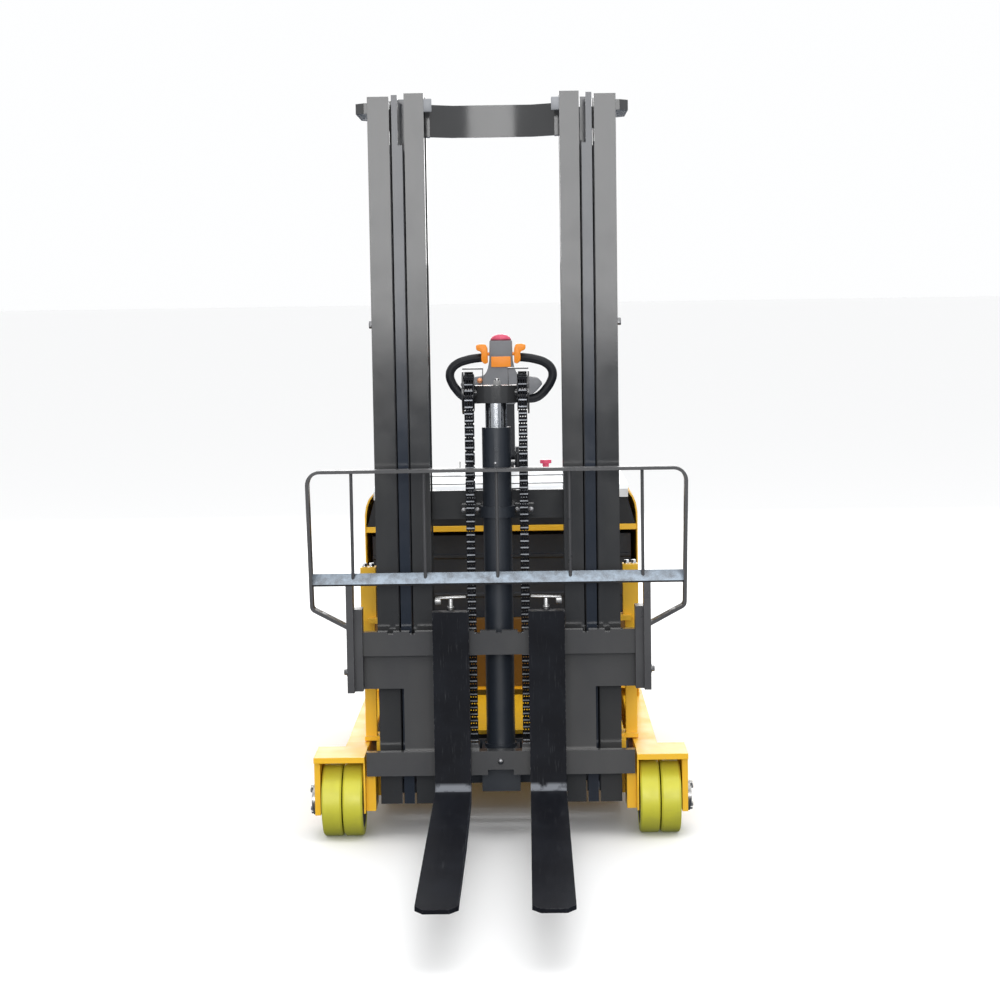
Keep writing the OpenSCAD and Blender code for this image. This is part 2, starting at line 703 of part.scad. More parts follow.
// Deck behind the mast, arms with roller stubs beside it, and the two posts over the legs
module reach_carriage() {
    arm_z = [leg_low + 34, deck_top];
    color("gold") {
        both_sides() {
            box(arm_x, arm_y, arm_z);
            box([outer_x[1], arm_x[0] + 1], [arm_y[0], rail_y[1]], [arm_z[0] + 40, arm_z[1]]);
            for (y = reach_roller_y)
                bar_x([arm_x[1] - 1, reach_roller_x[1] - 2], y, reach_z, stub_d);
            box([arm_x[0], post_x + 18], [post_y - 12, post_y + 58], [leg_top + 3, leg_top + 15]);
            box([post_x - 16, post_x + 16], [post_y, post_y + 38], [leg_top + 14, post_top - 154]);
            box([post_x - post_w / 2, post_x + post_w / 2], [post_y - 4, post_y + 42],
                [post_top - 155, post_top]);
            box([outer_x[1], post_x], [rail_y[1] - 16, post_y + 38], [post_top - 160, post_top - 145]);
        }
        box([-arm_x[0] - 1, arm_x[0] + 1], deck_y, [deck_top - deck_t, deck_top]);
        box([-arm_x[0] - 1, arm_x[0] + 1], [reach_cross_y, reach_cross_y + 12], [leg_low + 49, deck_top]);
    }
}

module reach_rollers(y) {
    color("silver") both_sides() difference() {
        bar_x(reach_roller_x, y, reach_z, reach_roller_d);
        bar_x([reach_roller_x[0] - 1, reach_roller_x[1] + 1], y, reach_z, stub_d + 2 * shaft_gap);
    }
}

module reach_rollers_front() reach_rollers(reach_roller_y[0]);
module reach_rollers_rear() reach_rollers(reach_roller_y[1]);

module reach_rod() {
    color("silver") bar_along_y(0, [reach_cross_y + 12, reach_barrel_y + 25], reach_z, 35);
}

module reach_barrel() {
    color("black") difference() {
        bar_along_y(0, [reach_barrel_y, bulkhead_y], reach_z, reach_barrel_d);
        bar_along_y(0, [reach_barrel_y - 1, bulkhead_y - 10], reach_z, 36);
    }
}

// Yellow side and rear sheets of the body
module side_panels() {
    z = [leg_top, hood_top - 113];
    color("gold") {
        both_sides() box([skin_x, body_x], body_y, z);
        box([-body_x, body_x], [body_y[1] - cover_t, body_y[1]], z);
    }
}

// Front wall with its ledge, and the bar that closes the battery space at the top
module front_panel() {
    half = skin_x;
    color("orange") {
        box([-half, half], [body_y[0], body_y[0] + cover_t], [floor_top, wall_top]);
        box([-half, half], [body_y[0], body_y[0] + 32], [wall_top - cover_t, wall_top]);
        box([-half, half], [body_y[0], body_y[0] + 32], rail_bar_z);
    }
}

// Black tub that closes the body between the yellow panels and the white covers
module upper_band() {
    half = skin_x;
    y = [body_y[0] + 6, body_y[1] - cover_t];
    color("black") difference() {
        box([-half, half], y, band_z);
        box([cover_t - half, half - cover_t], [y[0] + cover_t, y[1] - cover_t],
            [band_z[0] - 1, band_z[1] + 1]);
    }
}

module battery() {
    y0 = body_y[0] + 40;
    half = body_x - 20;
    color("black") {
        box([-half, half], [y0, cowl_y - 16], [floor_top, rail_bar_z[0] - 15]);
        for (z = [wall_top + 65, wall_top + 190])
            box([-half, half], [y0 - 5, y0 + 1], [z, z + 12]);
    }
}

// White hood piece: a box with a sloped front edge, hollow below
module hood_shell(y, front_cut, rear_cut) {
    z = [hood_low, hood_top];
    module block(inset) {
        rotate([90, 0, 90]) linear_extrude(body_w - 2 * inset, center = true) polygon([
            [y[0] + inset, z[0] - (inset > 0 ? 1 : 0)], [y[0] + inset, z[1] - front_cut],
            [y[0] + inset + front_cut, z[1] - inset], [y[1] - inset - rear_cut, z[1] - inset],
            [y[1] - inset, z[1] - rear_cut], [y[1] - inset, z[0] - (inset > 0 ? 1 : 0)]]);
    }
    difference() {
        block(0);
        block(cover_t);
    }
}

module battery_cover() {
    rear = body_y[0] + battery_cover_l;
    color("white") {
        hood_shell([body_y[0], rear], 14, 1);
        both_sides() bar_x([150, 210], rear, hood_top, 6);
    }
}

// Rear cowl with the opening for the steering column and the seats of its two controls
module rear_cowl() {
    color("white") difference() {
        hood_shell([cowl_y, body_y[1]], 1, 14);
        bar_z(0, steer_y, [band_z[0], hood_top + 1], column_d + 10);
        for (x = [-150, 150])
            bar_z(x, steer_y + 70, [band_z[0], hood_top + 1], 22 + 2 * slide_gap);
    }
}

// Pump motor, tank, valve block and motor controller on the body's floor
module power_pack() {
    y = [cowl_y + 12, cowl_y + 12 + pack_d];
    pump_y = y[0] + pump_d / 2 + 2;
    color("gray") {
        bar_z(pump_x, pump_y, [floor_top, floor_top + pump_h], pump_d);
        bar_z(pump_x, pump_y, [floor_top + pump_h - 1, floor_top + 1.4 * pump_h], 0.75 * pump_d);
        box(tank_x, y, [floor_top, floor_top + tank_h]);
        box(valve_x, y, [floor_top, floor_top + tank_h / 2]);
        box(controller_x, y, [floor_top + 5, floor_top + controller_h]);
        box([controller_x[0] + 10, controller_x[1] - 10], [y[0] + 10, y[1] - 10],
            [floor_top, floor_top + 6]);
    }
}

module key_switch() {
    color("silver") {
        bar_z(-150, steer_y + 70, [hood_top - 30, hood_top + 4], 22);
        box([-152, -148], [steer_y + 60, steer_y + 80], [hood_top + 3, hood_top + 26]);
    }
}

module stop_button() {
    color("red") {
        bar_z(150, steer_y + 70, [hood_top - 30, hood_top + 16], 22);
        bar_z(150, steer_y + 70, [hood_top + 15, hood_top + 28], 40);
    }
}

// Gearbox that hangs in the floor's bearing and holds the drive wheel on one side
module drive_gearbox() {
    z = drive_wheel_d / 2;
    half = drive_wheel_w / 2;
    color("gray") {
        bar_z(0, steer_y, [floor_low - 22, floor_top + 8], neck_d);
        box([half + 8, half + 70], [steer_y - 55, steer_y + 55], [z - 60, floor_low - 21]);
        bar_x([-half - 2, half + 9], steer_y, z, 40);
    }
}

module drive_wheel() {
    half = drive_wheel_w / 2;
    color("dimgray") wheel(-half, drive_wheel_w, steer_y, drive_wheel_d / 2, drive_wheel_d, 20,
        40 + 2 * shaft_gap);
}

module drive_motor() {
    color("black") {
        bar_z(0, steer_y, [floor_top + 8, floor_top + motor_h - 20], motor_d);
        bar_z(0, steer_y, [floor_top + motor_h - 21, floor_top + motor_h], 0.75 * motor_d);
    }
}

module castor_fork() {
    z = castor_d / 2;
    half = castor_w / 2;
    color("gray") {
        bar_z(castor_x, steer_y, [castor_d + 24, floor_top + 10], 40);
        box([castor_x - half - 9, castor_x + half + 9], [steer_y - 30, castor_y + 25],
            [castor_d + 15, castor_d + 25]);
        for (x = [castor_x - half - 9, castor_x + half + 3])
            box([x, x + 6], [castor_y - 25, castor_y + 25], [z - 20, castor_d + 16]);
        bar_x([castor_x - half - 8, castor_x + half + 8], castor_y, z, 20);
    }
}

module castor_wheel() {
    color("dimgray") wheel(castor_x - castor_w / 2, castor_w, castor_y, castor_d / 2, castor_d, 15,
        20 + 2 * shaft_gap);
}

// Column from the drive motor up through the cowl, with the yoke of the tiller arm
module steering_column() {
    yoke = tiller_w / 2 + 1;
    color("black") {
        bar_z(0, steer_y, [floor_top + motor_h, tiller_pivot - 37], column_d);
        bar_z(0, steer_y, [tiller_pivot - 38, tiller_pivot - 28], 2 * yoke + 28);
        both_sides()
            box([yoke, yoke + 12], [steer_y - 24, steer_y + 24], [tiller_pivot - 29, tiller_pivot + 24]);
        bar_x([-yoke - 1, yoke + 1], steer_y, tiller_pivot, 16);
    }
}

module tiller_arm() {
    half = tiller_w / 2;
    color("dimgray") difference() {
        union() {
            box([-half, half], [steer_y - 22, steer_y + 22], [tiller_pivot, head_low]);
            bar_x([-half, half], steer_y, tiller_pivot, 44);
        }
        bar_x([-half - 1, half + 1], steer_y, tiller_pivot, 16 + 2 * shaft_gap);
    }
}

// Head of the tiller: a block with sloped shoulders and seats for its controls
module tiller_head() {
    y = [steer_y - head_d / 2, steer_y + head_d / 2];
    color("gray") difference() {
        translate([0, y[1], 0]) rotate([90, 0, 0]) linear_extrude(head_d) polygon([
            [-44, head_low], [44, head_low], [head_x, head_low + 30], [head_x, head_top - 20],
            [40, head_top], [-40, head_top], [-head_x, head_top - 20], [-head_x, head_low + 30]]);
        bar_z(0, steer_y, [head_top - 16, head_top + 1], 62);
        bar_x([-60, 60], wing_y, wing_z, 12 + 2 * shaft_gap);
        box([-36, 36], [y[0] - 1, y[0] + 8], [head_top - 92, head_top - 50]);
        bar_along_y(0, [y[1] - 8, y[1] + 1], head_top - 60, 24 + 2 * slide_gap);
    }
}

// Two loop grips, each a ring that ends on the head's side
module tiller_grips() {
    color("black") both_sides() difference() {
        translate([ring_x, steer_y, ring_z]) rotate([90, 0, 0])
            rotate_extrude() translate([ring_r, 0]) circle(d = 32);
        box([-60, head_x + 0.1], [steer_y - 30, steer_y + 30], [ring_z - 120, ring_z + 120]);
    }
}

// Thumb wings on one cross shaft in front of the grips
module throttle_wings() {
    color("darkorange") {
        bar_x([-head_x - 30, head_x + 30], wing_y, wing_z, 12);
        both_sides() {
            bar_x([head_x + 2, head_x + 36], wing_y, wing_z, 21);
            box([head_x + 2, head_x + 36], [wing_y - 8, wing_y], [wing_z - 29, wing_z + 29]);
        }
    }
}

module belly_button() {
    color("crimson") {
        bar_z(0, steer_y, [head_top - 8, head_top + 12], 61);
        intersection() {
            translate([0, steer_y, head_top - 22]) sphere(d = 91);
            bar_z(0, steer_y, [head_top + 11, head_top + 24], 61);
        }
    }
}

// Lift and lower rocker in the middle of the head
module lift_rocker() {
    y = steer_y - head_d / 2;
    color("darkorange") {
        box([-35.6, 35.6], [y - 4, y + 2], [head_top - 89, head_top - 53]);
        bar_x([-35.6, 35.6], y + 3, head_top - 71, 6);
    }
}

module horn_button() {
    y = steer_y + head_d / 2;
    color("black") bar_along_y(0, [y - 3, y + 5], head_top - 60, 24);
}

base_frame();
wheel_brackets();
wheel_axles();
load_wheel_left_outer();
load_wheel_left_inner();
load_wheel_right_inner();
load_wheel_right_outer();
side_panels();
front_panel();
upper_band();
battery();
battery_cover();
rear_cowl();
power_pack();
key_switch();
stop_button();
drive_gearbox();
drive_wheel();
drive_motor();
castor_fork();
castor_wheel();
steering_column();
tiller_arm();
tiller_head();
tiller_grips();
throttle_wings();
belly_button();
lift_rocker();
horn_button();
reach_barrel();
reach_carriage();
reach_rollers_front();
reach_rollers_rear();
reach_rod();
outer_mast();
lift_barrels();
middle_mast();
lift_rods();
middle_rollers_low();
middle_rollers_high();
side_pulleys();
side_chains_rear();
side_chains_front();
inner_mast();
inner_rollers_low();
inner_rollers_high();
free_lift_barrel();
free_lift_rod();
crosshead();
chain_pulleys();
lift_chains_front();
lift_chains_rear();
carriage();
carriage_rollers_low();
carriage_rollers_high();
backrest();
fork_left();
fork_right();
latch_left();
latch_right();
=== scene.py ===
# %% [markdown]
# # An electric reach stacker, dressed for its picture
# The imported solids come in first and stay where they are, because every other
# cell measures itself against them. Lengths are metres, forks point to -Y and
# up is +Z.

# %% Load the solids
import json
import math

import bmesh
import bpy
from mathutils import Matrix, Vector

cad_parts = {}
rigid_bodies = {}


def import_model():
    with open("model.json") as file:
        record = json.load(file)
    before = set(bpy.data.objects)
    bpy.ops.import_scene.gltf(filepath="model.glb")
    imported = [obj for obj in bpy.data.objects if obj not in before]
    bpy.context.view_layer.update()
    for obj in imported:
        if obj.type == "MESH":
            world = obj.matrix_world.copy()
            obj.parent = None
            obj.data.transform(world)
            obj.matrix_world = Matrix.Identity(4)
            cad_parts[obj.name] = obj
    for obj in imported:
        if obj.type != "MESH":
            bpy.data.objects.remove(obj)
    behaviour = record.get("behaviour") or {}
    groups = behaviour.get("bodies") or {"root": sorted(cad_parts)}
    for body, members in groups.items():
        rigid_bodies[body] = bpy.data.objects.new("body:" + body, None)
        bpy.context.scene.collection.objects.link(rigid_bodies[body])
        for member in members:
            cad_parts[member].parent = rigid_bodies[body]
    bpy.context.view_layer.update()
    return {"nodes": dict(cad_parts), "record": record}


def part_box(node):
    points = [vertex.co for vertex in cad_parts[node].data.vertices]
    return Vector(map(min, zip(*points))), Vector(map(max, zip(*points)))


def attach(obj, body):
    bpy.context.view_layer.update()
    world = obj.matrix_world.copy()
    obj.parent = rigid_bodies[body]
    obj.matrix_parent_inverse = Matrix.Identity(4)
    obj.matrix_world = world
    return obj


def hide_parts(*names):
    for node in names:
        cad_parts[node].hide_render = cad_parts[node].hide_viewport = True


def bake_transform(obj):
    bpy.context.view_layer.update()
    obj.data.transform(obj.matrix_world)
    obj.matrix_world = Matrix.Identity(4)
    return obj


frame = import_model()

# %% [markdown]
# ## Camera
# The photograph was taken from about eye height, six metres in front of the
# forks, with a long lens that keeps the mast almost straight. The camera could
# be aimed with a constraint, but three plain turns in radians say exactly how
# far it looks down and sideways and how far it leans, so its matrix is written
# out.

# %% Place the camera
scene = bpy.context.scene
eye = Vector((0.0852, -6.0108, 1.505))
down, aside, lean = 0.0946, -0.0132, -0.0151

ahead = Vector((math.sin(aside) * math.cos(down), math.cos(aside) * math.cos(down), -math.sin(down)))
right = Vector((math.cos(aside), -math.sin(aside), 0))
above = right.cross(ahead)
right, above = (right * math.cos(lean) + above * math.sin(lean),
                above * math.cos(lean) - right * math.sin(lean))

focal_mm, sensor_mm = 75.85, 36
lens = bpy.data.cameras.new("eye_height")
lens.lens, lens.sensor_width = focal_mm, sensor_mm
camera = bpy.data.objects.new("eye_height", lens)
camera.matrix_world = Matrix.Translation(eye) @ Matrix((right, above, -ahead)).transposed().to_4x4()
scene.collection.objects.link(camera)
scene.camera = camera
print("camera", [round(c, 3) for c in eye], "lens", lens.lens)

# %% [markdown]
# ## Studio
# The glossy grey mast is light where it mirrors a bright sky and dark where it
# mirrors the ground. A wide soft box behind the camera, with its foot near eye
# height, gives that same change. The room is white down to the horizon and dark
# well below it, and the wide pale floor is seen by the camera but not by the
# machine's own reflections, so that the lower half stays deep in tone.

# %% Room, soft boxes and floor
scene.view_settings.view_transform = "Standard"
dark_ground, white_sky = (0.10, 0.115, 0.14, 1), (0.99, 0.995, 1, 1)
dark_under, white_over = -0.05, -0.012
room = bpy.data.worlds.new("pale_room")
room.use_nodes = True
heading = room.node_tree.nodes.new("ShaderNodeTexCoord")
height = room.node_tree.nodes.new("ShaderNodeSeparateXYZ")
horizon = room.node_tree.nodes.new("ShaderNodeValToRGB")
horizon.color_ramp.elements[0].color = dark_ground
horizon.color_ramp.elements[1].color = white_sky
below = room.node_tree.nodes.new("ShaderNodeMapRange")
below.inputs["From Min"].default_value = dark_under
below.inputs["From Max"].default_value = white_over
room.node_tree.links.new(heading.outputs["Generated"], height.inputs["Vector"])
room.node_tree.links.new(height.outputs["Z"], below.inputs["Value"])
room.node_tree.links.new(below.outputs["Result"], horizon.inputs["Fac"])
room.node_tree.links.new(horizon.outputs["Color"], room.node_tree.nodes["Background"].inputs["Color"])
scene.world = room


def soft_box(name, place, target, width, height, power):
    """Area light that faces a point and stays out of the picture."""
    light = bpy.data.lights.new(name, "AREA")
    light.shape, light.size, light.size_y, light.energy = "RECTANGLE", width, height, power
    holder = bpy.data.objects.new(name, light)
    holder.rotation_mode = "QUATERNION"
    holder.location = place
    holder.rotation_quaternion = (Vector(target) - Vector(place)).to_track_quat("-Z", "Y")
    holder.visible_camera = False
    scene.collection.objects.link(holder)


soft_box("sky_front", (0, -11, 3.32), (0, 0, 3.32), width=7, height=4.3, power=550)
soft_box("sky_top", (0.5, -0.5, 5.5), (0, 0.1, 0), width=5, height=5, power=130)
soft_box("fill_back", (0, 8, 3.2), (0, 0, 1.0), width=6, height=3, power=160)

# %% Floor
floor_radius = 900
floor_bm = bmesh.new()
bmesh.ops.create_circle(floor_bm, cap_ends=True, segments=96, radius=floor_radius)
floor_mesh = bpy.data.meshes.new("studio_floor")
floor_bm.to_mesh(floor_mesh)
floor_bm.free()
floor = bpy.data.objects.new("studio_floor", floor_mesh)
scene.collection.objects.link(floor)
pale = bpy.data.materials.new("pale_floor")
pale.use_nodes = True
pale_inputs = pale.node_tree.nodes["Principled BSDF"].inputs
pale_inputs["Base Color"].default_value = (0.95, 0.95, 0.95, 1)
pale_inputs["Roughness"].default_value = 0.85
pale_inputs["Specular IOR Level"].default_value = 0.1
floor_mesh.materials.append(pale)
floor.visible_diffuse = floor.visible_glossy = False
print("floor", round(floor.dimensions.x), "m across")

# %% [markdown]
# ## How a finish is built
# Every finish starts from the same few patterns in Object coordinates, which
# are the machine's own metres, so a pattern keeps its real size on every piece.
# Cloudy noise varies the colour, a finer noise varies the gloss and lifts the
# surface, and the Bevel node finds edges, where paint is rubbed thin.

# %% Patterns for the finishes


def new_finish(name):
    """Empty finish: its node tree and its surface shader."""
    made = bpy.data.materials.new(name)
    made.use_nodes = True
    return made, made.node_tree, made.node_tree.nodes["Principled BSDF"]


def add(tree, kind, settings=None, **sockets):
    """One node, with settings and socket values or links by name."""
    node = tree.nodes.new(kind)
    for key, value in (settings or {}).items():
        setattr(node, key, value)
    for key, value in sockets.items():
        socket = node.inputs[key.replace("_", " ")]
        if isinstance(value, bpy.types.NodeSocket):
            tree.links.new(value, socket)
        else:
            socket.default_value = value
    return node


def cloud(tree, size, detail=3.0, stretch=(1, 1, 1)):
    """Noise with blobs of a size in metres, stretched along X, Y or Z."""
    place = add(tree, "ShaderNodeTexCoord").outputs["Object"]
    turn = add(tree, "ShaderNodeMapping", Vector=place, Scale=[1 / s for s in stretch])
    noise = add(tree, "ShaderNodeTexNoise", Vector=turn.outputs["Vector"], Scale=1 / size,
                Detail=detail, Roughness=0.6)
    return noise.outputs["Fac"]


def remap(tree, value, low, high, out_low=0.0, out_high=1.0):
    """Stretches the part of a pattern between two values over a new range."""
    node = add(tree, "ShaderNodeMapRange", Value=value)
    node.inputs["From Min"].default_value, node.inputs["From Max"].default_value = low, high
    node.inputs["To Min"].default_value, node.inputs["To Max"].default_value = out_low, out_high
    return node.outputs["Result"]


def times(tree, a, b):
    """Product of two patterns."""
    node = tree.nodes.new("ShaderNodeMath")
    node.operation = "MULTIPLY"
    for socket, value in zip(node.inputs, (a, b)):
        if isinstance(value, bpy.types.NodeSocket):
            tree.links.new(value, socket)
        else:
            socket.default_value = value
    return node.outputs["Value"]


def blend_colour(tree, share, a, b):
    """Colour that goes from a to b with a pattern."""
    node = tree.nodes.new("ShaderNodeMix")
    node.data_type = "RGBA"
    tree.links.new(share, node.inputs["Factor"])
    for socket, value in zip([s for s in node.inputs if s.type == "RGBA"], (a, b)):
        if isinstance(value, bpy.types.NodeSocket):
            tree.links.new(value, socket)
        else:
            socket.default_value = (*value, 1)
    return [s for s in node.outputs if s.type == "RGBA"][0]


def edge_mask(tree, reach):
    """One along edges within reach, zero on open faces."""
    soft = add(tree, "ShaderNodeBevel", {"samples": 4}, Radius=reach)
    hard = add(tree, "ShaderNodeNewGeometry")
    dot = tree.nodes.new("ShaderNodeVectorMath")
    dot.operation = "DOT_PRODUCT"
    tree.links.new(soft.outputs["Normal"], dot.inputs[0])
    tree.links.new(hard.outputs["Normal"], dot.inputs[1])
    flat_turn, edge_turn = 0.985, 0.85
    return remap(tree, dot.outputs["Value"], flat_turn, edge_turn)


def bumpy(tree, shader, height, depth):
    """Lifts the surface by a pattern, depth in metres."""
    bump = add(tree, "ShaderNodeBump", Height=height, Distance=depth, Strength=1.0)
    tree.links.new(bump.outputs["Normal"], shader.inputs["Normal"])


print("pattern helpers ready")

# %% [markdown]
# ## Painted steel
# Structural steel on a truck is sprayed with a thick, glossy enamel. Its colour
# is almost even, but the film has a slight orange peel, dust dulls it in soft
# patches, and corners are rubbed until the grey primer shows. A plain colour
# would look like plastic, so all of these are layered.

# %% Enamel
orange_peel = 0.00006


def enamel(name, colour, dull, worn, gloss, chips=0.5):
    """Sprayed paint: cloudy dust, varying gloss, rubbed corners and orange peel."""
    made, tree, shader = new_finish(name)
    dust = remap(tree, cloud(tree, 0.22, 4, (1, 1, 2.2)), 0.42, 0.72)
    painted = blend_colour(tree, dust, colour, dull)
    worn_spots = remap(tree, cloud(tree, 0.02, 5), 0.62 - 0.12 * chips, 0.72)
    rubbed = times(tree, edge_mask(tree, 0.003), worn_spots)
    specks = remap(tree, cloud(tree, 0.006, 2), 0.79, 0.83, 0, 0.5 * chips)
    shown = blend_colour(tree, rubbed, blend_colour(tree, specks, painted, worn), worn)
    tree.links.new(shown, shader.inputs["Base Color"])
    tree.links.new(remap(tree, cloud(tree, 0.09, 5), 0.3, 0.75, gloss, gloss * 1.5 + 0.05),
                   shader.inputs["Roughness"])
    bumpy(tree, shader, cloud(tree, 0.004, 2), orange_peel)
    return made


mast_paint = enamel("mast_enamel", colour=(0.040, 0.041, 0.043), dull=(0.051, 0.051, 0.051),
                    worn=(0.13, 0.13, 0.135), gloss=0.09)
carriage_paint = enamel("carriage_enamel", colour=(0.070, 0.070, 0.072), dull=(0.084, 0.083, 0.082),
                        worn=(0.16, 0.16, 0.165), gloss=0.12)
barrel_paint = enamel("cylinder_enamel", colour=(0.018, 0.023, 0.032), dull=(0.025, 0.029, 0.036),
                      worn=(0.12, 0.12, 0.13), gloss=0.3, chips=0.3)
guard_paint = enamel("guard_enamel", colour=(0.05, 0.05, 0.053), dull=(0.07, 0.07, 0.073),
                     worn=(0.22, 0.22, 0.22), gloss=0.25)
# Darker, bluer copy of the mast enamel for the recessed middle rails: painted shade.
middle_painted_shade = enamel("middle_mast_painted_shade", colour=(0.024, 0.030, 0.042), dull=(0.032, 0.036, 0.046),
                      worn=(0.10, 0.10, 0.11), gloss=0.09)
yellow_paint = enamel("yellow_enamel", colour=(0.93, 0.53, 0.020), dull=(0.87, 0.49, 0.03),
                      worn=(0.92, 0.62, 0.20), gloss=0.28)
# Darker copy of the yellow enamel for the front panel's lower wall: painted shade.
amber_painted_shade = enamel("front_panel_painted_shade", colour=(0.13, 0.058, 0.002), dull=(0.16, 0.072, 0.006),
                     worn=(0.3, 0.16, 0.04), gloss=0.35)
cast_paint = enamel("cast_grey", colour=(0.09, 0.092, 0.095), dull=(0.06, 0.06, 0.06),
                    worn=(0.3, 0.3, 0.3), gloss=0.5, chips=1.0)
print("enamels:", [m.name for m in bpy.data.materials if m.name != "pale_floor"])

# %% [markdown]
# ## Fork paint with a worn heel and a painted highlight
# The forks carry the loads, so their dull black paint is scuffed lengthwise and
# rubbed to bare metal at the inside of the heel, where the lighter band is also a
# painted highlight on the bend. A separate finish is simplest: its marks are long
# streaks along the blade, and a band around the heel's corner is found from the
# height and depth of each point.

# %% Fork finish


def fork_finish(heel_y, heel_z, bare_and_highlight_reach=0.009, paint_reach=0.017):
    """Dull black paint with long scuffs, and a lighter band at the inside corner that is bare metal and a
    painted highlight.
    """
    made, tree, shader = new_finish("fork_enamel")
    place = add(tree, "ShaderNodeTexCoord").outputs["Object"]
    corner = tree.nodes.new("ShaderNodeVectorMath")
    corner.operation = "MULTIPLY_ADD"
    tree.links.new(place, corner.inputs[0])
    corner.inputs[1].default_value, corner.inputs[2].default_value = (0, 1, 1), (0, -heel_y, -heel_z)
    away = tree.nodes.new("ShaderNodeVectorMath")
    away.operation = "LENGTH"
    tree.links.new(corner.outputs["Vector"], away.inputs[0])
    heel_wear_and_highlight = remap(tree, away.outputs["Value"], paint_reach, bare_and_highlight_reach)
    rubbed = times(tree, heel_wear_and_highlight, remap(tree, cloud(tree, 0.03, 4), 0.3, 0.5))
    scuffs = remap(tree, cloud(tree, 0.004, 4, (1, 30, 12)), 0.6, 0.76, 0, 0.55)
    dust = remap(tree, cloud(tree, 0.12, 4, (1, 2, 1)), 0.4, 0.75)
    painted = blend_colour(tree, dust, (0.0058, 0.0064, 0.0092), (0.011, 0.0125, 0.017))
    edges = times(tree, edge_mask(tree, 0.0025), remap(tree, cloud(tree, 0.012, 4), 0.5, 0.66))
    shown = blend_colour(tree, scuffs, painted, (0.055, 0.057, 0.062))
    shown = blend_colour(tree, edges, shown, (0.16, 0.16, 0.17))
    # Lighter band round the heel's inside corner: partly rubbed bare metal, partly a painted highlight on the
    # bend.
    shown = blend_colour(tree, rubbed, shown, (0.17, 0.18, 0.20))
    tree.links.new(shown, shader.inputs["Base Color"])
    tree.links.new(remap(tree, scuffs, 0, 0.5, 0.42, 0.6), shader.inputs["Roughness"])
    shader.inputs["Specular IOR Level"].default_value = 0.10
    bumpy(tree, shader, cloud(tree, 0.003, 3), 0.00008)
    return made


blade_top, heel_radius = 0.151, 0.006
shank_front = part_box("backrest")[0].y
fork_paint = fork_finish(shank_front - heel_radius, blade_top + heel_radius)
print("heel at", round(shank_front, 4), blade_top)

# %% [markdown]
# ## Bare metals
# Chrome on a lift rod is a mirror with faint length marks, turned steel has
# fine rings, and zinc-plated bolts are duller and mottled. One recipe serves
# them all: a metal whose gloss and height follow a stretched noise.

# %% Metals
gloss_spread = 0.18


def metal(name, colour, stain, gloss, grain, stretch=(1, 1, 1), depth=0.00003):
    """Bare or plated metal with mottled colour and a drawn or turned grain."""
    made, tree, shader = new_finish(name)
    shown = blend_colour(tree, remap(tree, cloud(tree, 0.03, 5), 0.42, 0.72), colour, stain)
    tree.links.new(shown, shader.inputs["Base Color"])
    marks = cloud(tree, grain, 4, stretch)
    tree.links.new(remap(tree, marks, 0.35, 0.7, gloss, gloss + gloss_spread), shader.inputs["Roughness"])
    shader.inputs["Metallic"].default_value = 1.0
    bumpy(tree, shader, marks, depth)
    return made


chrome = metal("hard_chrome", (0.72, 0.74, 0.77), (0.64, 0.66, 0.69), 0.08, 0.02, stretch=(1, 1, 20),
               depth=0.000002)
# Bluish metal for the forward and upward faces of the load guard's flat bar: a painted reflection of the
# bright sky.
painted_reflection_bar = metal("painted_reflection_bar", (0.20, 0.235, 0.275), (0.14, 0.15, 0.165), 0.14, 0.03)
zinc = metal("zinc_plate", (0.42, 0.42, 0.42), (0.28, 0.28, 0.27), 0.28, 0.004)
bolt_steel = metal("bolt_steel", (0.26, 0.26, 0.27), (0.15, 0.15, 0.15), 0.30, 0.004)
turned_steel = metal("turned_steel", (0.42, 0.42, 0.43), (0.24, 0.23, 0.22), 0.3, 0.003,
                     stretch=(8, 1, 1))
chain_steel = metal("oiled_chain", (0.014, 0.015, 0.018), (0.009, 0.009, 0.010), 0.40, 0.004)
# Lighter steel for small blocks at each chain pin: a painted highlight where the plate edges catch the light.
painted_pin_highlight = metal("chain_pin_highlights", (0.25, 0.262, 0.28), (0.15, 0.157, 0.17), 0.32, 0.004)
copper = metal("copper_plug", (0.72, 0.33, 0.17), (0.5, 0.22, 0.1), 0.3, 0.004)
print("metals ready")

# %% [markdown]
# ## Plastics, tyres and switch caps
# Moulded covers have a fine leather-like grain, the wheels' cast tread is
# smooth but takes floor dust, and the caps of the switches are glossy.
# These differ from paint in that nothing shines through at the edges, which
# only turn a little lighter.

# %% Moulded finishes


def moulded(name, colour, shade, gloss, grain=0.0015, depth=0.00012, dirt=None, sheen=0.5):
    """Moulded plastic or rubber with a fine grain, pale edges and some dirt."""
    made, tree, shader = new_finish(name)
    shown = blend_colour(tree, remap(tree, cloud(tree, 0.12, 4), 0.38, 0.7), colour, shade)
    if dirt:
        smudge = remap(tree, cloud(tree, 0.05, 5, (2, 1, 1)), 0.52, 0.78, 0, 0.5)
        shown = blend_colour(tree, smudge, shown, dirt)
    lighter = times(tree, edge_mask(tree, 0.002), 0.35)
    shown = blend_colour(tree, lighter, shown, tuple(min(1, c * 1.5 + 0.02) for c in colour))
    tree.links.new(shown, shader.inputs["Base Color"])
    tree.links.new(remap(tree, cloud(tree, 0.03, 4), 0.3, 0.75, gloss, gloss + 0.15),
                   shader.inputs["Roughness"])
    shader.inputs["Specular IOR Level"].default_value = sheen
    bumpy(tree, shader, cloud(tree, grain, 2), depth)
    return made


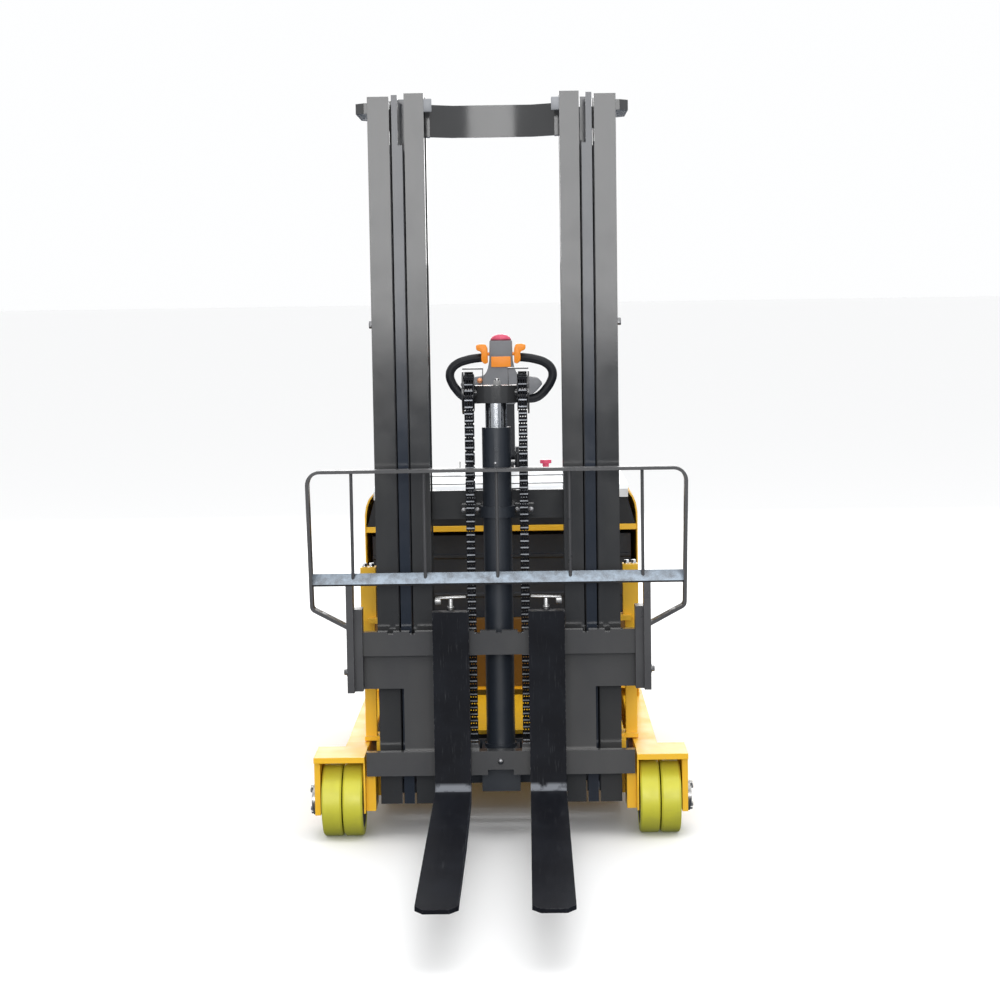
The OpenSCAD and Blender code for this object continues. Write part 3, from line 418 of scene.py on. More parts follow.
white_cover = moulded("white_cover", (0.80, 0.82, 0.84), (0.74, 0.76, 0.78), 0.35, 0.002, 0.00008,
                      dirt=(0.55, 0.55, 0.54))
black_plastic = moulded("black_grain", (0.010, 0.011, 0.014), (0.016, 0.017, 0.020), 0.42, sheen=0.35)
grip_rubber = moulded("grip_rubber", (0.005, 0.006, 0.009), (0.009, 0.010, 0.013), 0.34, 0.001, 0.00005,
                      sheen=0.28)
grey_plastic = moulded("grey_shell", (0.18, 0.183, 0.195), (0.15, 0.153, 0.163), 0.4)
orange_plastic = moulded("orange_cap", (0.95, 0.30, 0.018), (0.85, 0.25, 0.015), 0.3)
red_plastic = moulded("red_cap", (0.62, 0.06, 0.135), (0.54, 0.045, 0.10), 0.2, 0.004, 0.00002)
# Darker copy of the red cap for the seal under the safety dome: painted shade under the dome's rim.
seal_painted_shade = moulded("red_seal_painted_shade", (0.16, 0.006, 0.025), (0.12, 0.005, 0.02), 0.35, 0.004, 0.00002)
pad_plastic = moulded("pad_plastic", (0.30, 0.31, 0.33), (0.25, 0.26, 0.275), 0.4)
battery_case = moulded("battery_case", (0.010, 0.013, 0.020), (0.016, 0.019, 0.026), 0.5, 0.003, 0.0001,
                       dirt=(0.03, 0.03, 0.03))
lime_tread = moulded("lime_tread", (0.66, 0.63, 0.055), (0.58, 0.56, 0.05), 0.38, 0.003, 0.00005,
                     dirt=(0.50, 0.47, 0.08))
dark_tread = moulded("dark_tread", (0.05, 0.048, 0.046), (0.07, 0.066, 0.062), 0.55, 0.003, 0.0001,
                     dirt=(0.11, 0.1, 0.09))
print("moulded finishes ready")

# %% [markdown]
# ## Solids with rounded edges
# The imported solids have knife-sharp edges, but flame-cut plate and rolled rail
# never do, and it is the thin highlight on an edge that makes steel read as
# steel. A solid's own mesh must stay as it is, so a copy is welded, its flat
# faces are joined again, and a Bevel modifier rounds what is sharp. The copy
# then stands for the solid and rides on the same body.

# %% Helpers that finish a mesh
body_of_node = {n: b for b, members in frame["record"]["behaviour"]["bodies"].items() for n in members}
edge_angle = math.radians(32)
weld_gap = 0.00002


def put(name, bm, finish_of, body, stands_for=(), weld=True):
    """Turns a bmesh into a finished piece with smooth curves and sharp corners."""
    if weld:
        bmesh.ops.remove_doubles(bm, verts=bm.verts[:], dist=weld_gap)
    bmesh.ops.recalc_face_normals(bm, faces=bm.faces[:])
    for edge in bm.edges:
        edge.smooth = len(edge.link_faces) == 2 and edge.calc_face_angle(0) < edge_angle
    for face in bm.faces:
        face.smooth = True
    mesh = bpy.data.meshes.new(name)
    bm.to_mesh(mesh)
    bm.free()
    mesh.materials.append(finish_of)
    made = bpy.data.objects.new(name, mesh)
    scene.collection.objects.link(made)
    if body:
        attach(made, body)
    if stands_for:
        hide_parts(*stands_for)
    return made


def rounded_copy(node, width, finish_of, flat_angle=0.002):
    """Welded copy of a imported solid, with its sharp edges rounded and its curves left alone."""
    bm = bmesh.new()
    bm.from_mesh(frame["nodes"][node].data)
    bmesh.ops.remove_doubles(bm, verts=bm.verts[:], dist=weld_gap)
    bmesh.ops.dissolve_limit(bm, angle_limit=flat_angle, verts=bm.verts[:], edges=bm.edges[:])
    made = put(node + "_rounded", bm, finish_of, body_of_node[node], (node,), weld=False)
    if width:
        bevel = made.modifiers.new("edge_radius", "BEVEL")
        bevel.width, bevel.segments, bevel.limit_method = width, 2, "ANGLE"
        bevel.angle_limit, bevel.harden_normals = edge_angle, True
    return made


print("first body:", next(iter(body_of_node.items())))

# %% [markdown]
# ## Rails, plates and covers
# Which radius an edge has depends on how the piece is made: hot-rolled rails
# and forged forks are soft, laser-cut plate is crisp, and a moulded cover is
# softest of all. So each solid gets its own radius and finish from one list.

# %% Round every solid that shows
rounding = {
    "outer_mast": (0.0030, mast_paint, "mast_paint"),
    # The middle rails get the painted-shade copy of the mast enamel.
    "middle_mast": (0.0030, middle_painted_shade, "mast_paint"),
    "inner_mast": (0.0030, mast_paint, "mast_paint"),
    "carriage": (0.0022, carriage_paint, "mast_paint"),
    "backrest": (0.0008, guard_paint, "mast_paint"),
    "crosshead": (0.0020, mast_paint, "mast_paint"),
    "free_lift_barrel": (0.0015, barrel_paint, "mast_paint"),
    "lift_barrels": (0.0015, barrel_paint, "mast_paint"),
    "free_lift_rod": (0.0, chrome, "chrome"),
    "lift_rods": (0.0, chrome, "chrome"),
    "reach_rod": (0.0, chrome, "chrome"),
    "reach_barrel": (0.0010, barrel_paint, "mast_paint"),
    "reach_carriage": (0.0020, yellow_paint, "yellow_paint"),
    "base_frame": (0.0020, yellow_paint, "yellow_paint"),
    "wheel_brackets": (0.0020, yellow_paint, "yellow_paint"),
    "side_panels": (0.0015, yellow_paint, "yellow_paint"),
    "front_panel": (0.0015, yellow_paint, "yellow_paint"),
    "wheel_axles": (0.0015, zinc, "bright_steel"),
    "upper_band": (0.0015, black_plastic, "black_plastic"),
    "battery": (0.0030, battery_case, "battery_case"),
    "battery_cover": (0.0015, white_cover, "white_cover"),
    "rear_cowl": (0.0015, white_cover, "white_cover"),
    "power_pack": (0.0020, cast_paint, "cast"),
    "drive_gearbox": (0.0030, cast_paint, "cast"),
    "drive_motor": (0.0030, black_plastic, "black_plastic"),
    "castor_fork": (0.0015, cast_paint, "cast"),
    "steering_column": (0.0015, black_plastic, "black_plastic"),
    "tiller_arm": (0.0040, black_plastic, "black_plastic"),
    "stop_button": (0.0020, red_plastic, "red_plastic"),
    "key_switch": (0.0006, zinc, "bright_steel"),
    "horn_button": (0.0010, black_plastic, "black_plastic"),
    "chain_pulleys": (0.0006, turned_steel, "bright_steel"),
    "side_pulleys": (0.0006, turned_steel, "bright_steel"),
    "carriage_rollers_low": (0.0015, turned_steel, "bright_steel"),
    "carriage_rollers_high": (0.0015, turned_steel, "bright_steel"),
    "middle_rollers_low": (0.0015, turned_steel, "bright_steel"),
    "middle_rollers_high": (0.0015, turned_steel, "bright_steel"),
    "inner_rollers_low": (0.0015, turned_steel, "bright_steel"),
    "inner_rollers_high": (0.0015, turned_steel, "bright_steel"),
    "reach_rollers_front": (0.0015, turned_steel, "bright_steel"),
    "reach_rollers_rear": (0.0015, turned_steel, "bright_steel"),
    "fork_left": (0.0040, fork_paint, "fork_paint"),
    "fork_right": (0.0040, fork_paint, "fork_paint"),
}
copy_of = {}
for node, (width, finish_of, slot) in rounding.items():
    copy_of[node] = rounded_copy(node, width, finish_of)
print("rounded solids:", len(copy_of))

# %% [markdown]
# ## Two finishes on one solid
# Paint that lies in deep shade gets a darker copy of its finish as painted
# shade, the forward and upward faces of the load guard's flat bar get a painted
# reflection, and the foot of the lift cylinder differs from the rest of its
# solid. Splitting the solid would open seams, so some faces of the copy get a
# second finish, told from the others by where they are or which way they look.

# %% Second finishes
shade_top = 0.5
bar_low, bar_high = 0.70, 0.78
foot_top, foot_reach = 0.26, 0.06


def second_finish(node, finish_of, belongs):
    """Gives a second finish to those faces of a copy that pass a test."""
    mesh = copy_of[node].data
    mesh.materials.append(finish_of)
    for face in mesh.polygons:
        face.material_index = 1 if belongs(face) else 0
    print(node, "second finish on", sum(face.material_index for face in mesh.polygons), "faces")


# Faces of the front panel below shade_top get the darker amber: painted shade.
second_finish("front_panel", amber_painted_shade, lambda face: face.center.z < shade_top)
# The flat bar's forward and upward faces get the painted reflection.
second_finish("backrest", painted_reflection_bar, lambda face: face.normal.y < -0.5 and face.normal.z > 0.5
              and bar_low < face.center.z < bar_high)
second_finish("inner_mast", barrel_paint, lambda face: face.center.z < foot_top
              and abs(face.center.x) < foot_reach)

# %% [markdown]
# ## Wheels
# A load wheel is a cast hub with a polyurethane tyre poured round it. The two
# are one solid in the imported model, so the tyre's colour is told from the hub's
# by the distance from the axle: a face that comes near it gets the metal, a face
# that stays further out the tread. Giving faces their own slot keeps the split
# exact.

# %% Tyres and hubs
wheels = {
    "load_wheel_left_outer": (lime_tread, "lime_tread", 0.022),
    "load_wheel_left_inner": (lime_tread, "lime_tread", 0.022),
    "load_wheel_right_inner": (lime_tread, "lime_tread", 0.022),
    "load_wheel_right_outer": (lime_tread, "lime_tread", 0.022),
    "drive_wheel": (dark_tread, "rubber", 0.020),
    "castor_wheel": (dark_tread, "rubber", 0.015),
}
rim_radius, step_slack = 0.0015, 0.0003
for node, (tread, slot, tread_deep) in wheels.items():
    made = copy_of[node] = rounded_copy(node, rim_radius, tread)
    low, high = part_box(node)
    axle = (low + high) / 2
    radius = (high.z - low.z) / 2
    hub_reach = [math.hypot(v.co.y - axle.y, v.co.z - axle.z) <= radius - tread_deep - step_slack
                 for v in made.data.vertices]
    second_finish(node, cast_paint, lambda face: any(hub_reach[i] for i in face.vertices))
print("wheels:", len(wheels))

# %% [markdown]
# ## Arched shoulders
# The body's side skins don't stop at a corner: they arch inward to the hood, so
# the black band shows only between them and the hood is narrower than the
# body. The copies of band and hood are drawn in towards their top, which leaves
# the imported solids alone, and the arch is one thin section pushed lengthwise.
# The rear wall steps in by 1.5 mm, which leaves room for the vents on it.

# %% Helpers for drawn-in walls and pushed faces


def draw_in(made, low_z, high_z, low_reach, high_reach):
    """Moves the outer walls of a copy to a half width that changes with height."""
    widest = max(abs(v.co.x) for v in made.data.vertices)
    for vert in made.data.vertices:
        share = min(1, max(0, (vert.co.z - low_z) / (high_z - low_z)))
        vert.co.x *= (low_reach + (high_reach - low_reach) * share) / widest


def push(bm, face, along):
    """Pushes a face along a vector, which makes the walls of a solid behind it."""
    pushed = bmesh.ops.extrude_face_region(bm, geom=[face])
    bmesh.ops.translate(bm, vec=along, verts=[v for v in pushed["geom"] if isinstance(v, bmesh.types.BMVert)])


band_low, band_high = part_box("upper_band")
body_low, body_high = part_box("side_panels")
print("band z", round(band_low.z, 3), "to", round(band_high.z, 3))

# %% Draw the hood in and add the shoulders
band_reach, hood_reach, hood_radius, vent_room, end_room = (0.4260, 0.4015), 0.4030, 0.012, 0.0015, 0.001
draw_in(copy_of["upper_band"], band_low.z, band_high.z, *band_reach)
for node in ("battery_cover", "rear_cowl"):
    draw_in(copy_of[node], 0, 1, hood_reach, hood_reach)
    copy_of[node].modifiers["edge_radius"].width = hood_radius
    copy_of[node].modifiers["edge_radius"].segments = 4
for node in ("side_panels", "rear_cowl"):
    for vert in copy_of[node].data.vertices:
        if vert.co.y > body_high.y - 0.001:
            vert.co.y -= vent_room
arch = [(0.4330, 0.8040), (0.4325, 0.8300), (0.4280, 0.8600), (0.4190, 0.8820), (0.4100, 0.8930),
        (0.4070, 0.8890), (0.4145, 0.8790), (0.4230, 0.8580), (0.4275, 0.8290), (0.4280, 0.8040)]
for side, word in ((1, "right"), (-1, "left")):
    shoulder = bmesh.new()
    end = shoulder.faces.new([shoulder.verts.new((side * x, body_low.y + end_room, z)) for x, z in arch])
    push(shoulder, end, (0, body_high.y - body_low.y - 2 * end_room, 0))
    put("shoulder_" + word, shoulder, yellow_paint, "chassis")
print("shoulders reach z", max(z for _, z in arch))

# %% [markdown]
# ## Lift chains
# A lift chain is a stack of thin plates on pins, 19.05 mm apart. Seen from the
# front, the wavy plate edges catch the light once at each pin, where they bulge
# most; a light block in front of and behind each pin is a painted highlight of
# that. One plate is a circle pulled into a long shape with a narrow waist, one
# link is a few plates side by side, and the chain is the link set down again and
# again along a path that runs straight and then round the wheel.

# %% Helpers for rods and softened edges
along_x = Matrix.Rotation(math.pi / 2, 4, "Y")


def rod(bm, place, radius, depth, segments=24):
    """Straight bar about the local Z axis; with six segments it is a hexagon."""
    return bmesh.ops.create_cone(bm, cap_ends=True, segments=segments, radius1=radius, radius2=radius,
                                 depth=depth, matrix=place)


def soften(bm, edges, width, steps=2, clamp=False):
    """Rounds some edges of a mesh that is being made."""
    bmesh.ops.bevel(bm, geom=list(edges), offset=width, affect="EDGES", segments=steps, profile=0.5,
                    material=-1, clamp_overlap=clamp)


def rims(bm, made):
    """Edges between the wall and the two ends of a rod."""
    return [e for e in bm.edges if all(v in made["verts"] for v in e.verts) and e.calc_face_angle(0) > 1]


def block(bm, place, size, radius):
    """Box of a size at a place, all its edges rounded."""
    cube = bmesh.ops.create_cube(bm, size=1.0, matrix=place @ Matrix.Diagonal((*size, 1)))
    if radius:
        soften(bm, dict.fromkeys(e for v in cube["verts"] for e in v.link_edges), radius)
    return cube


print("rod, block and edge helpers ready")

# %% One chain link
pitch = 0.01905
plate_thick, plate_radius, plate_count, waist = 0.00345, 0.0078, 7, 0.78
pin_radius, highlight_deep, highlight_high, highlight_reach = 0.0036, 0.0016, 0.0034, 0.0074


def chain_link(width):
    """Plates and pin of one link, along Z, its first pin at the origin."""
    bm = bmesh.new()
    middle_row = (plate_count - 1) / 2
    for row in range(plate_count):
        x = (row - middle_row) / middle_row * (width / 2 - 0.0013)
        flat = Matrix.Translation((x - plate_thick / 2, 0, 0)) @ along_x
        ring = bmesh.ops.create_circle(bm, cap_ends=True, segments=12, radius=plate_radius, matrix=flat)
        rim = ring["verts"]
        shift = row % 2 * pitch
        for vert in rim:
            if abs(vert.co.z) < 0.0035:
                vert.co.y *= waist
            end = pitch / 2 if vert.co.z > 0.0001 else -pitch / 2 if vert.co.z < -0.0001 else 0
            vert.co.z += end + pitch / 2 + shift
        push(bm, rim[0].link_faces[0], (plate_thick, 0, 0))
    for z in (0, pitch):
        rod(bm, Matrix.Translation((0, 0, z)) @ along_x, pin_radius, width + 0.001, segments=8)
        # Light blocks in front of and behind each pin, in the second finish: painted highlight.
        for front in (-highlight_reach, highlight_reach):
            worn = block(bm, Matrix.Translation((0, front, z)), (width - 0.001, highlight_deep, highlight_high), 0)
            for face in dict.fromkeys(f for v in worn["verts"] for f in v.link_faces):
                face.material_index = 1
    link = bpy.data.meshes.new("chain_link")
    bm.to_mesh(link)
    bm.free()
    return link


def chain(name, path, x, width, stands_for):
    """Chain through a list of (place, angle) steps two pitches apart, on both sides."""
    link = chain_link(width)
    bm = bmesh.new()
    for side in (-x, x):
        for (y, z), angle in path:
            start = len(bm.verts)
            bm.from_mesh(link)
            bm.verts.ensure_lookup_table()
            turn = Matrix.Translation((side, y, z)) @ Matrix.Rotation(angle, 4, "X")
            bmesh.ops.transform(bm, matrix=turn, verts=bm.verts[start:])
    made = put(name, bm, chain_steel, None, stands_for, weld=False)
    made.data.materials.append(painted_pin_highlight)
    print(name, "faces", len(made.data.polygons))
    return made


chain_w = 0.0235
print("pitch", pitch, "chain width", chain_w)

# %% [markdown]
# ## Where the chains run
# Each lift chain climbs from the carriage, turns over its wheel on the
# crosshead and comes down behind it to the mast. The real chain keeps its
# length and rolls over the wheel. Here the front and rear runs are two fixed
# pieces, each set down between its ends.

# %% Lift chain runs


def straight(y, low, high):
    """Links that stand one above the other, their spacing fitted to the run."""
    count = max(1, round((high - low) / (2 * pitch)))
    step = (high - low) / count
    return [((y, low + i * step), 0.0) for i in range(count)]


def half_turn(y, z, radius):
    """Links round the top half of a wheel, from the front to the back."""
    count = round(math.pi * radius / (2 * pitch))
    steps = []
    for i in range(count):
        angle = math.pi * (i + 0.1) / count
        steps.append(((y - radius * math.cos(angle), z + radius * math.sin(angle)),
                      -angle - pitch / radius))
    return steps


def stretch(piece, lower, upper, low, high):
    """Bakes the piece's place into its mesh; the bodies lower and upper and the heights low and high are not
    used.
    """
    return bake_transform(piece)


wheel_low, wheel_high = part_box("chain_pulleys")
wheel_y, wheel_z = (wheel_low.y + wheel_high.y) / 2, (wheel_low.z + wheel_high.z) / 2
front_low, front_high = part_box("lift_chains_front")
rear_low, rear_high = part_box("lift_chains_rear")
half_wide, half_deep, foot_lift = 0.012, 0.008, 0.004
chain_x = front_high.x - half_wide
front_y, rear_y = front_low.y + half_deep, rear_high.y - half_deep
turn_radius = (rear_y - front_y) / 2

climb = straight(front_y, front_low.z + foot_lift, wheel_z) + half_turn(wheel_y, wheel_z, turn_radius)
front_chain = chain("lift_chains_front_links", climb, chain_x, chain_w, ("lift_chains_front",))
rear_chain = chain("lift_chains_rear_links", straight(rear_y, rear_low.z, wheel_z), chain_x, chain_w,
                   ("lift_chains_rear",))
stretch(front_chain, "carriage", "crosshead", front_low.z, wheel_z)
stretch(rear_chain, "inner_mast", "crosshead", rear_low.z, wheel_z)
print("wheel at", round(wheel_y, 4), round(wheel_z, 4), "chain x", round(chain_x, 4))

# %% Side chain runs
side_low, side_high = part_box("side_pulleys")
side_y, side_z = (side_low.y + side_high.y) / 2, (side_low.z + side_high.z) / 2
back_low, back_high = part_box("side_chains_rear")
fore_low, fore_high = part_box("side_chains_front")
side_x = back_high.x - half_wide
climb = straight(back_high.y - half_deep, back_low.z, side_z) + half_turn(side_y, side_z, turn_radius)
side_rear = chain("side_chains_rear_links", climb, side_x, chain_w, ("side_chains_rear",))
side_fore = chain("side_chains_front_links", straight((fore_low.y + fore_high.y) / 2, fore_low.z, side_z),
                  side_x, chain_w, ("side_chains_front",))
stretch(side_rear, "reach_unit", "middle_mast", back_low.z, side_z)
stretch(side_fore, "inner_mast", "middle_mast", fore_low.z, side_z)
print("side wheel at", round(side_y, 4), round(side_z, 4))

# %% [markdown]
# ## Where fastenings sit
# A bolt has to stand on the face that carries it, from every side. Instead of
# typing its depth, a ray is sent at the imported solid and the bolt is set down
# where it hits, square to that face. This keeps each fastening on its plate even
# if the plate is moved in the CAD source.

# %% Finding a face
from mathutils.bvhtree import BVHTree

skin_of = {}


def face_at(node, start, heading):
    """Place and outward direction of the first face that a ray meets."""
    if node not in skin_of:
        mesh = frame["nodes"][node].data
        skin_of[node] = BVHTree.FromPolygons([v.co for v in mesh.vertices],
                                             [p.vertices for p in mesh.polygons])
    place, out, _, _ = skin_of[node].ray_cast(Vector(start), Vector(heading))
    assert place is not None, (node, start)
    return place, out if out.dot(Vector(heading)) < 0 else -out


def standing_on(place, out):
    """Matrix that turns +Z to the outward direction and moves to the place."""
    return Matrix.Translation(place) @ Vector(out).to_track_quat("Z", "Y").to_matrix().to_4x4()


print("rays use", len(frame["nodes"]), "solids")

# %% [markdown]
# ## Bolts, nuts and rivets
# A hexagon head is a six-sided bar cut short, with its upper corners turned
# off, over a round washer. Each fastening sinks a little into its face, so no
# gap shows under it. All are joined to one mesh for each body that they ride
# on, since they never move apart.

# %% Fastening shapes
sunk, washer_thick, washer_top, washer_edge, corner_cut = 0.001, 0.0024, 0.0022, 0.0005, 0.0016
flats_to_radius = 1.732


def above_face(base, lift, height):
    """Place of a rod of a height above a face, its foot sunk into the face."""
    return base @ Matrix.Translation((0, 0, lift + (height - sunk) / 2))


def hexagon(bm, base, across, height, washer=0.0):
    """Hexagon head with a turned top, over a washer if it has one."""
    lift = 0.0
    if washer:
        disc = rod(bm, base @ Matrix.Translation((0, 0, sunk)), washer, washer_thick)
        soften(bm, rims(bm, disc), washer_edge)
        lift = washer_top
    head = rod(bm, above_face(base, lift, height), across / flats_to_radius, height + sunk, segments=6)
    axis = (base.to_3x3() @ Vector((0, 0, 1))).normalized()
    top = base @ Vector((0, 0, lift + height))
    rim = [e for e in bm.edges if all(v in head["verts"] for v in e.verts)
           and all(abs((v.co - top).dot(axis)) < 0.0002 for v in e.verts)]
    soften(bm, rim, min(corner_cut, height * 0.25))


def stud(bm, base, radius, height):
    """Threaded end above a nut, or a round head with a small chamfer."""
    stem = rod(bm, above_face(base, 0.0, height), radius, height + sunk, segments=20)
    soften(bm, rims(bm, stem), radius * 0.15)


def dome(bm, base, radius, height):
    """Low round rivet head."""
    ball = bmesh.ops.create_uvsphere(bm, u_segments=24, v_segments=12, radius=1.0,
                                     matrix=base @ Matrix.Diagonal((radius, radius, height, 1)))
    out = (base.to_3x3() @ Vector((0, 0, 1))).normalized()
    parts = dict.fromkeys(g for v in ball["verts"] for g in (v, *v.link_edges, *v.link_faces))
    bmesh.ops.bisect_plane(bm, geom=list(parts),
                           plane_co=base.translation - out * 0.0004, plane_no=out, clear_inner=True)


print("washer", washer_top, "high, corners cut by", corner_cut, "or less")

# %% Fastenings of the mast, carriage and barrel
clamp_z, clamp_places = 0.9145, (-0.095, -0.057, 0.055, 0.094)
plug_x, plug_z, rivet_z = -0.004, 1.052, 0.2225
tie_y, tie_z = -0.085, 1.441
guard_x, guard_y, guard_bolts = 0.49, -0.245, (0.648, 0.484)
head_x, head_y, nut_high = 0.004, -0.130, 0.013
on_mast, on_carriage, on_barrel, on_head = (bmesh.new() for _ in range(4))
for x in clamp_places:
    place, out = face_at("inner_mast", (x, -1, clamp_z), (0, 1, 0))
    hexagon(on_barrel, standing_on(place, out), across=0.0095, height=0.007, washer=0.0075)
place, out = face_at("free_lift_barrel", (plug_x, -1, plug_z), (0, 1, 0))
hexagon(on_barrel, standing_on(place, out), across=0.0075, height=0.0025)
for side in (-1, 1):
    place, out = face_at("outer_mast", (side, tie_y, tie_z), (-side, 0, 0))
    hexagon(on_mast, standing_on(place, out), across=0.018, height=0.010, washer=0.015)
    for z in guard_bolts:
        place, out = face_at("backrest", (side * guard_x, guard_y, z), (-side, 0, 0))
        hexagon(on_carriage, standing_on(place, out), across=0.014, height=0.008, washer=0.012)
place, out = face_at("carriage", (0, -1, rivet_z), (0, 1, 0))
dome(on_carriage, standing_on(place, out), radius=0.0085, height=0.005)
place, out = face_at("crosshead", (head_x, head_y, 2), (0, 0, -1))
hexagon(on_head, standing_on(place, out), across=0.019, height=0.012, washer=0.0125)
stud(on_head, standing_on(place + out * nut_high, out), radius=0.0060, height=0.007)
put("mast_bolts", on_mast, bolt_steel, "reach_unit")
put("carriage_bolts", on_carriage, bolt_steel, "carriage")
put("barrel_bolts", on_barrel, bolt_steel, "inner_mast")
put("crosshead_bolt", on_head, zinc, "crosshead")
print("clamp bolts at z", clamp_z)

# %% Fastenings of the reach frame and the wheels
on_posts, on_caps = bmesh.new(), bmesh.new()
post_bolts, post_y, cap_bolts = (0.367, 0.387), 0.016, (-0.6, 0.6)
cap_low, cap_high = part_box("wheel_axles")
cap_mid, cap_reach = (cap_low + cap_high) / 2, (cap_high.z - cap_low.z) / 2
for side in (-1, 1):
    for x in post_bolts:
        place, out = face_at("reach_carriage", (side * x, post_y, 2), (0, 0, -1))
        hexagon(on_posts, standing_on(place, out), across=0.014, height=0.009, washer=0.0085)
    for share in cap_bolts:
        place, out = face_at("wheel_axles", (side, cap_mid.y, cap_mid.z + share * cap_reach), (-side, 0, 0))
        hexagon(on_caps, standing_on(place, out), across=0.011, height=0.006)
put("post_bolts", on_posts, chrome, "reach_unit")
put("keeper_bolts", on_caps, zinc, "chassis")
print("axles reach X", round(cap_high.x, 4))

# %% [markdown]
# ## Tiller head
# The head is one moulded housing: a narrow neck in front, shoulders that reach
# out to the lower ends of the two loops, and a raised frame round the rocker.
# Its outline is drawn once as a flat face, pushed back to its depth, and then
# every edge is rounded, because a mould leaves no sharp corner. The horn button
# and the safety button sink into pockets, so neither cuts the shell when it is
# pressed.

# %% Helper: outline to moulded block


def moulding(outline, front, back, radius, steps=3):
    """Flat outline in X and Z, pushed from the front to the back, all its edges rounded."""
    bm = bmesh.new()
    push(bm, bm.faces.new([bm.verts.new((x, front, z)) for x, z in outline]), (0, back - front, 0))
    bmesh.ops.recalc_face_normals(bm, faces=bm.faces[:])
    soften(bm, bm.edges[:], radius, steps, clamp=True)
    return bm


def mirrored(half):
    """Outline of the right half, closed by its mirror image."""
    return half + [(-x, z) for x, z in reversed(half) if abs(x) > 1e-6]


print("outline helpers ready")

# %% Housing and its horn pocket
head_low, head_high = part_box("tiller_head")
rocker_low, rocker_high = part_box("lift_rocker")
button_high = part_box("belly_button")[1]
neck_front, head_back, head_top = head_low.y, head_high.y, head_high.z
shell_front, shell_top = neck_front + 0.014, head_top - 0.018
housing = moulding(mirrored([(0.0, head_low.z), (0.046, head_low.z), (0.060, 1.174), (0.104, 1.179),
                             (0.122, 1.192), (0.143, 1.217), (0.126, 1.237), (0.060, 1.246), (0.046, 1.266),
                             (0.0395, 1.300), (0.038, 1.330), (0.037, shell_top), (0.0, shell_top)]),
                   shell_front, head_back, radius=0.006)
horn_room, horn_pocket_deep = 0.0004, 0.0080
horn_low, horn_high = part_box("horn_button")
sideways, upward = Vector((1, 0, 0)), Vector((0, 0, 1))
for way, at in ((sideways, horn_low.x - horn_room), (sideways, horn_high.x + horn_room),
                (upward, horn_low.z - horn_room), (upward, horn_high.z + horn_room)):
    back = [f for f in housing.faces if f.normal.y > 0.99 and f.calc_center_median().y > head_back - 0.0001]
    parts = dict.fromkeys(g for f in back for g in (f, *f.edges, *f.verts))
    bmesh.ops.bisect_plane(housing, geom=list(parts), plane_co=way * at, plane_no=way)
horn_mid = (horn_low + horn_high) / 2
pocket = min((f for f in housing.faces if f.normal.y > 0.99),
             key=lambda f: (f.calc_center_median() - Vector((horn_mid.x, head_back, horn_mid.z))).length)
bmesh.ops.inset_individual(housing, faces=[pocket], thickness=0.0, depth=-horn_pocket_deep)
put("tiller_housing", housing, grey_plastic, "tiller", ("tiller_head",))
print("head", round(head_low.z, 3), "to", round(head_top, 3))

# %% Neck, rocker frame and plug
neck_top, neck_back, seal_wall, button_pocket_deep = head_top + 0.0015, head_back - 0.012, 0.0005, 0.022
neck = moulding(mirrored([(0.078, 1.196), (0.0455, 1.272), (0.0400, 1.300), (0.0388, neck_top)]),
                neck_front, neck_back, radius=0.003)
lid = max((f for f in neck.faces if f.normal.z > 0.99), key=lambda f: f.calc_area())
bmesh.ops.inset_individual(neck, faces=[lid], thickness=seal_wall)
bmesh.ops.inset_individual(neck, faces=[lid], thickness=0.0, depth=-button_pocket_deep)
put("tiller_neck", neck, grey_plastic, "tiller")
plug = bmesh.new()
place, out = Vector((-0.074, shell_front, 1.230)), Vector((0, -1, 0))
hexagon(plug, standing_on(place, out), across=0.016, height=0.009, washer=0.0095)
stud(plug, standing_on(place + out * 0.010, out), radius=0.0050, height=0.006)
put("copper_fitting", plug, copper, "tiller")
rocker_wide, frame_wide = 0.0338, 0.0016
rim_wide, rim_low, rim_high = rocker_wide + frame_wide, rocker_low.z - frame_wide, rocker_high.z + frame_wide
rim = moulding(mirrored([(rim_wide, rim_low), (rim_wide, rim_high)]), neck_front - 0.0012, neck_front + 0.004,
               radius=0.0010, steps=2)
put("rocker_frame", rim, grey_plastic, "tiller")
print("neck top", round(neck_top, 4))

# %% [markdown]
# ## Loop grips
# Each hand holds a loop of soft rubber tube that leaves the head level, turns
# down and slants back in to the shoulder. A curve is the natural tool for a tube
# with changing bends: its points lie on the tube's centre line and the bevel
# depth gives its radius. It is made a mesh before it is finished.

# %% Grips
grip_radius, collar_radius, collar_z, collar_x = 0.0152, 0.0175, 1.3085, (0.050, 0.0575)


def tube(name, points, radius, finish_of, body, stands_for=()):
    """Round tube through points, as a mesh with smooth sides."""
    line = bpy.data.curves.new(name + "_line", "CURVE")
    line.dimensions, line.bevel_depth, line.bevel_resolution = "3D", radius, 6
    line.use_fill_caps, line.resolution_u = True, 10
    spline = line.splines.new("BEZIER")
    spline.bezier_points.add(len(points) - 1)
    for point, place in zip(spline.bezier_points, points):
        point.co = place
        point.handle_left_type = point.handle_right_type = "AUTO"
    holder = bpy.data.objects.new(name + "_line", line)
    scene.collection.objects.link(holder)
    bpy.context.view_layer.update()
    shaped = bpy.data.meshes.new_from_object(holder.evaluated_get(bpy.context.evaluated_depsgraph_get()))
    bm = bmesh.new()
    bm.from_mesh(shaped)
    bpy.data.objects.remove(holder)
    bpy.data.meshes.remove(shaped)
    return put(name, bm, finish_of, body, stands_for)


